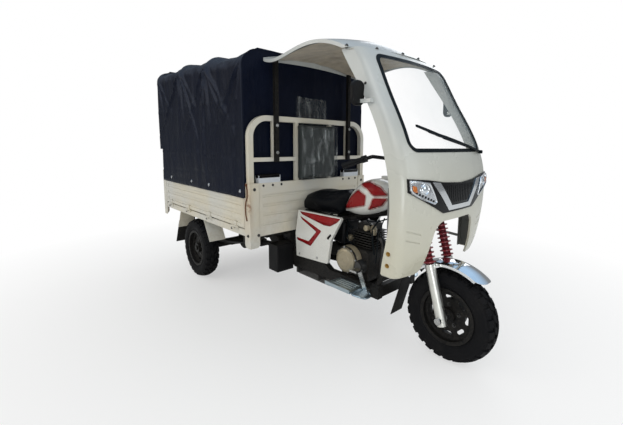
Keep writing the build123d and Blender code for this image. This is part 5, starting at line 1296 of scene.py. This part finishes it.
# Upright slats in the nose between the bright strip's arms
mask_tree = tree_of("nose_mask")
SLAT_STEP, SLAT_R = 0.021, 0.0022
SLAT_LOW, SLAT_TOP = 0.972, 1.068
slats = Forms()
for step in range(-8, 9):
    y = SLAT_STEP * step
    foot = max(SLAT_LOW, 0.968 + 1.13 * (abs(y) - 0.098))
    line = [from_front(mask_tree, y, z)[0] for z in np.linspace(foot, SLAT_TOP, 8)]
    slats.tube(line, SLAT_R, 6)
slats.piece("nose_slats", "plastic", "black_plastic")

# Wiper: a stiff arm from the pivot and a jointed yoke on the blade
glass_tree = tree_of("windshield", "windshield_seal")
WIPER_LIFT = Vector((0.011, 0, 0))
WIPER_LINES = (
    (((0.345, 1.250), (0.18, 1.277), (0.02, 1.302), (-0.10, 1.325)), 0.0065),
    (((-0.02, 1.318), (-0.08, 1.330), (-0.15, 1.342), (-0.21, 1.357)), 0.0085),
)
wiper_arm = Forms()
for line, radius in WIPER_LINES:
    spots = [from_front(glass_tree, y, z)[0] for y, z in line]
    wiper_arm.tube([at + WIPER_LIFT for at in spots], radius, 8)
wiper_arm.piece("wiper_arm", "rubber", "rubber")

# Bolts and screws: name, finish and where they stand, as (point, outward way, head radius)
cab_tree = tree_of("cab_shell", "cab_roof")
CAB_MIDDLE = Vector((0.6, 0, 1.2))
HINGE_ROW = (-1.440, -0.984, -0.528, -0.072)
AHEAD, BEHIND, RIGHT, LEFT = (1, 0, 0), (-1, 0, 0), (0, -1, 0), (0, 1, 0)


def both_sides(*points):
    return [p for x, y, z in points for p in ((x, y, z), (x, -y, z))]


def on_cab(radius, *points):
    """Bolts on both sides of the cab, each at the surface point that is nearest."""
    result = []
    for at in both_sides(*points):
        spot, normal, _, _ = cab_tree.find_nearest(Vector(at))
        if normal.dot(Vector(at) - CAB_MIDDLE) < 0:
            normal = -normal
        result.append((spot, normal, radius))
    return result


def facing(points, way, radius):
    return [(p, way, radius) for p in points]


BOLTS = {
    "roof_screws": (
        "dull", on_cab(0.0065, (0.932, 0.447, 1.83), (1.030, 0.305, 1.84), (1.062, 0.084, 1.845)),
    ),
    "shield_bolts": ("bronze", on_cab(0.008, (1.262, 0.470, 0.653), (1.272, 0.475, 0.721))),
    "pillar_screws": ("dull", on_cab(0.005, (1.072, 0.46, 1.609))),
    "sill_bolts_right": ("dull", facing([(x - 0.07, -0.610, 0.627) for x in HINGE_ROW], RIGHT, 0.006)),
    "sill_bolts_left": ("dull", facing([(x - 0.07, 0.610, 0.627) for x in HINGE_ROW], LEFT, 0.006)),
    "post_bolts": (
        "dull",
        facing(both_sides((0.149, 0.547, 0.612), (0.149, 0.575, 0.955)), AHEAD, 0.0075)
        + facing([(0.118, -0.615, 0.612)], RIGHT, 0.0075)
        + facing([(0.118, 0.615, 0.612)], LEFT, 0.0075),
    ),
    "headboard_bolts": (
        "dull", facing(both_sides(*((0.144, y, 0.978) for y in (0.335, 0.414, 0.496))), AHEAD, 0.006),
    ),
    "roof_post_bolts": (
        "steel", facing(both_sides((0.1683, 0.383, 1.22), (0.1683, 0.383, 1.419)), AHEAD, 0.008),
    ),
    "tail_post_bolts": (
        "dull", facing(both_sides((-1.661, 0.592, 0.56), (-1.661, 0.592, 0.95)), BEHIND, 0.0075),
    ),
    "panel_screws": (
        "steel",
        facing([(0.24, -0.235, 0.43), (0.447, -0.235, 0.445)], RIGHT, 0.006)
        + facing([(0.24, 0.235, 0.43), (0.447, 0.235, 0.445)], LEFT, 0.006),
    ),
}
for name, (finish, spots) in BOLTS.items():
    forms = Forms()
    for at, out, radius in spots:
        forms.bolt(at, out, radius)
    forms.piece(name, finish, "steel")

# Spring hooks that hold the gates' front ends, rusted at the bend
HOOK_R, HOOK_Y = 0.0042, 0.6195
HOOK_HEAD = ((0.010, 0.0), (0.010, 0.009), (0.0, 0.010))
HOOK_WAY = (
    (0.112, 0.9880), (0.121, 0.955), (0.120, 0.900), (0.100, 0.860), (0.092, 0.820), (0.096, 0.765),
    (0.110, 0.724),
)
hooks = Forms()
for side in SIDES:
    hooks.tube([(x, side * HOOK_Y, z) for x, z in HOOK_WAY], HOOK_R, 8)
    hooks.lathe((0.112, side * 0.615, 0.988), (0, side, 0), HOOK_HEAD, 14)
hooks.piece("gate_hooks", "rust", "steel")

# Engine dressing: generator and clutch covers, head bolts, carburettor and leads
COVER_AT = Vector((0.690, 0.0, 0.477))
GENERATOR = ((0.0535, 0.0), (0.0535, 0.046), (0.047, 0.0585), (0.030, 0.0625), (0.0, 0.064))
CLUTCH = (
    (0.0985, 0.0), (0.0985, 0.044), (0.094, 0.054), (0.086, 0.0575), (0.0845, 0.070), (0.078, 0.0765),
    (0.062, 0.0795), (0.060, 0.0765), (0.046, 0.0775), (0.043, 0.0805), (0.018, 0.0815), (0.016, 0.0785),
    (0.0, 0.079),
)
CARBURETTOR = (
    ((0.845, -0.066, 0.700), (0.2, -0.3, 1),
     ((0.019, -0.03), (0.022, -0.008), (0.022, 0.012), (0.017, 0.016), (0.017, 0.034), (0.0, 0.036)), 22),
    ((0.800, -0.085, 0.712), (0.0, -1, 0.1),
     ((0.017, -0.02), (0.020, 0.002), (0.020, 0.016), (0.012, 0.020), (0.0, 0.021)), 22),
    ((0.612, -0.052, 0.600), RIGHT, ((0.022, -0.02), (0.025, 0.004), (0.020, 0.016), (0.0, 0.018)), 22),
)


def turned(name, finish, slot, *shapes):
    """A piece of turned forms, each given as place, axis, profile and number of sides."""
    forms = Forms()
    for shape in shapes:
        forms.lathe(*shape)
    forms.piece(name, finish, slot)


turned("generator_cover", "dull", "clutch_cover", ((0.785, -0.118, 0.442), RIGHT, GENERATOR, 36))
turned("clutch_cover", "gold", "clutch_cover", (COVER_AT + Vector((0, -0.118, 0)), RIGHT, CLUTCH, 48))
COVER_BOLTS_R, COVER_BOLT_R, COVER_FACE = 0.0905, 0.0052, Vector((0, -0.1755, 0))
HEAD_BOLTS = [(x, y, 0.734) for x in (0.70, 0.81) for y in (-0.048, 0.048)]
HEAD_BOLT_R = 0.0075
brights = Forms()
for angle in turns(8):
    brights.bolt(COVER_AT + polar(COVER_BOLTS_R, angle + 0.2) + COVER_FACE, RIGHT, COVER_BOLT_R, 1.3)
for at in HEAD_BOLTS:
    brights.bolt(at, (0, 0, 1), HEAD_BOLT_R)
brights.piece("engine_bolts", "steel", "steel")
turned("carburettor", "gold", "aluminium", *CARBURETTOR)
# Leads and hoses: radius and way
LEADS = (
    (0.0045, ((0.79, -0.060, 0.745), (0.80, -0.095, 0.775), (0.84, -0.110, 0.770), (0.90, -0.085, 0.775),
              (0.96, -0.05, 0.80))),
    (0.006, ((0.66, -0.033, 0.655), (0.63, -0.05, 0.675), (0.60, -0.055, 0.70), (0.57, -0.05, 0.735))),
    (0.004, ((0.86, -0.02, 0.66), (0.90, -0.075, 0.70), (0.95, -0.10, 0.67), (0.975, -0.11, 0.60))),
    (0.0045, ((0.60, -0.06, 0.70), (0.64, -0.115, 0.66), (0.66, -0.125, 0.60), (0.70, -0.10, 0.57))),
    (0.0055, ((0.88, -0.05, 0.78), (0.87, -0.115, 0.72), (0.885, -0.125, 0.64), (0.90, -0.12, 0.55))),
    (0.004, ((0.93, -0.06, 0.80), (0.925, -0.12, 0.70), (0.93, -0.13, 0.60), (0.915, -0.125, 0.50))),
    (0.005, ((0.58, -0.04, 0.66), (0.60, -0.10, 0.62), (0.62, -0.12, 0.55), (0.61, -0.11, 0.48))),
)
leads = Forms()
for radius, way in LEADS:
    leads.tube(way, radius, 8)
leads.piece("engine_leads", "rubber", "rubber")

# Air box behind the cylinder, with its ribbed hose to the carburettor
air_box = Forms()
rows = []
for inset, y in ((0.012, -0.092), (0.0, -0.082), (0.0, 0.082), (0.012, 0.092)):
    corners = (
        (0.455 + inset, 0.560 + inset), (0.575 - inset, 0.545 + inset),
        (0.590 - inset, 0.715 - inset), (0.470 + inset, 0.722 - inset),
    )
    rows.append([(q.x, y, q.y) for q in rounded(corners, 0.02)])
air_box.loft(rows)
hose = [(0.033 if step % 2 else 0.028, 0.008 * step) for step in range(12)]
air_box.lathe((0.582, -0.03, 0.655), (0.98, 0.0, -0.12), hose, 24)
air_box.piece("air_box", "plastic", "black_plastic")

# Foot boards: pressed ribs along the plate
board_low, board_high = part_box("foot_boards")
RIB_Z, RIB_R, RIB_END = 0.3535, 0.0030, 0.03
RIB_FIRST_Y, RIB_STEP = 0.232, 0.024
ribs = Forms()
for side in SIDES:
    for step in range(5):
        y = side * (RIB_FIRST_Y + RIB_STEP * step)
        ribs.tube([(board_low.x + RIB_END, y, RIB_Z), (board_high.x - RIB_END, y, RIB_Z)], RIB_R, 8)
ribs.piece("foot_board_ribs", "plate", "steel")

# Rounded toe plates ahead of the boards, turned down at the front, with a rolled rim
toes = Forms()
TOE_LONG, TOE_THICK, TOE_BEND = 0.085, 0.005, 2.6
inner, outer = board_high.y - 0.148, board_high.y - 0.004
front = board_high.x - 0.004
toe_tip = front + TOE_LONG
toe_corners = ((front, inner), (toe_tip, inner + 0.02), (toe_tip, outer - 0.05), (front, outer))
for side in SIDES:
    top = []
    for q in rounded(toe_corners, 0.045, 8):
        top.append(Vector((q.x, side * q.y, board_high.z - 0.0275 - TOE_BEND * (q.x - front) ** 2)))
    toes.loft([top, [p - Vector((0, 0, TOE_THICK)) for p in top]])
    toes.tube([p - Vector((0, 0, 0.002)) for p in top], 0.0055, 8, closed=True)
toes.piece("foot_board_toes", "plate", "steel")

# Mirror glass on the rear faces of the mirrors
MIRROR_X, MIRROR_Y, MIRROR_Z = 1.0336, 0.484, 1.554
MIRROR_HALF_W, MIRROR_HALF_H, MIRROR_CORNER = 0.037, 0.057, 0.03
glasses = Forms()
for side in SIDES:
    y0, y1 = side * MIRROR_Y - MIRROR_HALF_W, side * MIRROR_Y + MIRROR_HALF_W
    z0, z1 = MIRROR_Z - MIRROR_HALF_H, MIRROR_Z + MIRROR_HALF_H
    corners = ((y0, z0), (y1, z0), (y1, z1), (y0, z1))
    glasses.fan([(MIRROR_X, p.x, p.y) for p in rounded(corners, MIRROR_CORNER)])
glasses.piece("mirror_glasses", "mirror", "glass")

# Dark tops of the marker lamps: how far they stand out, and how far up from the lamps' top
MARKER_RINGS = ((0.0, -0.026), (0.0012, -0.024), (0.0012, -0.004), (-0.004, 0.0012))
MARKER_Y = (0.345, 0.535)
tops = Forms()
marker_low, marker_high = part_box("marker_lamps")
for side in SIDES:
    rows = []
    for grow, rise in MARKER_RINGS:
        x0, x1 = marker_low.x - grow, marker_high.x + grow
        y0, y1 = MARKER_Y[0] - grow, MARKER_Y[1] + grow
        corners = rounded(((x0, y0), (x1, y0), (x1, y1), (x0, y1)), 0.012)
        rows.append([(p.x, side * p.y, marker_high.z + rise) for p in corners])
    tops.grid(rows, closed_columns=True)
    tops.fan(rows[-1])
tops.piece("marker_tops", "gloss", "black_plastic")
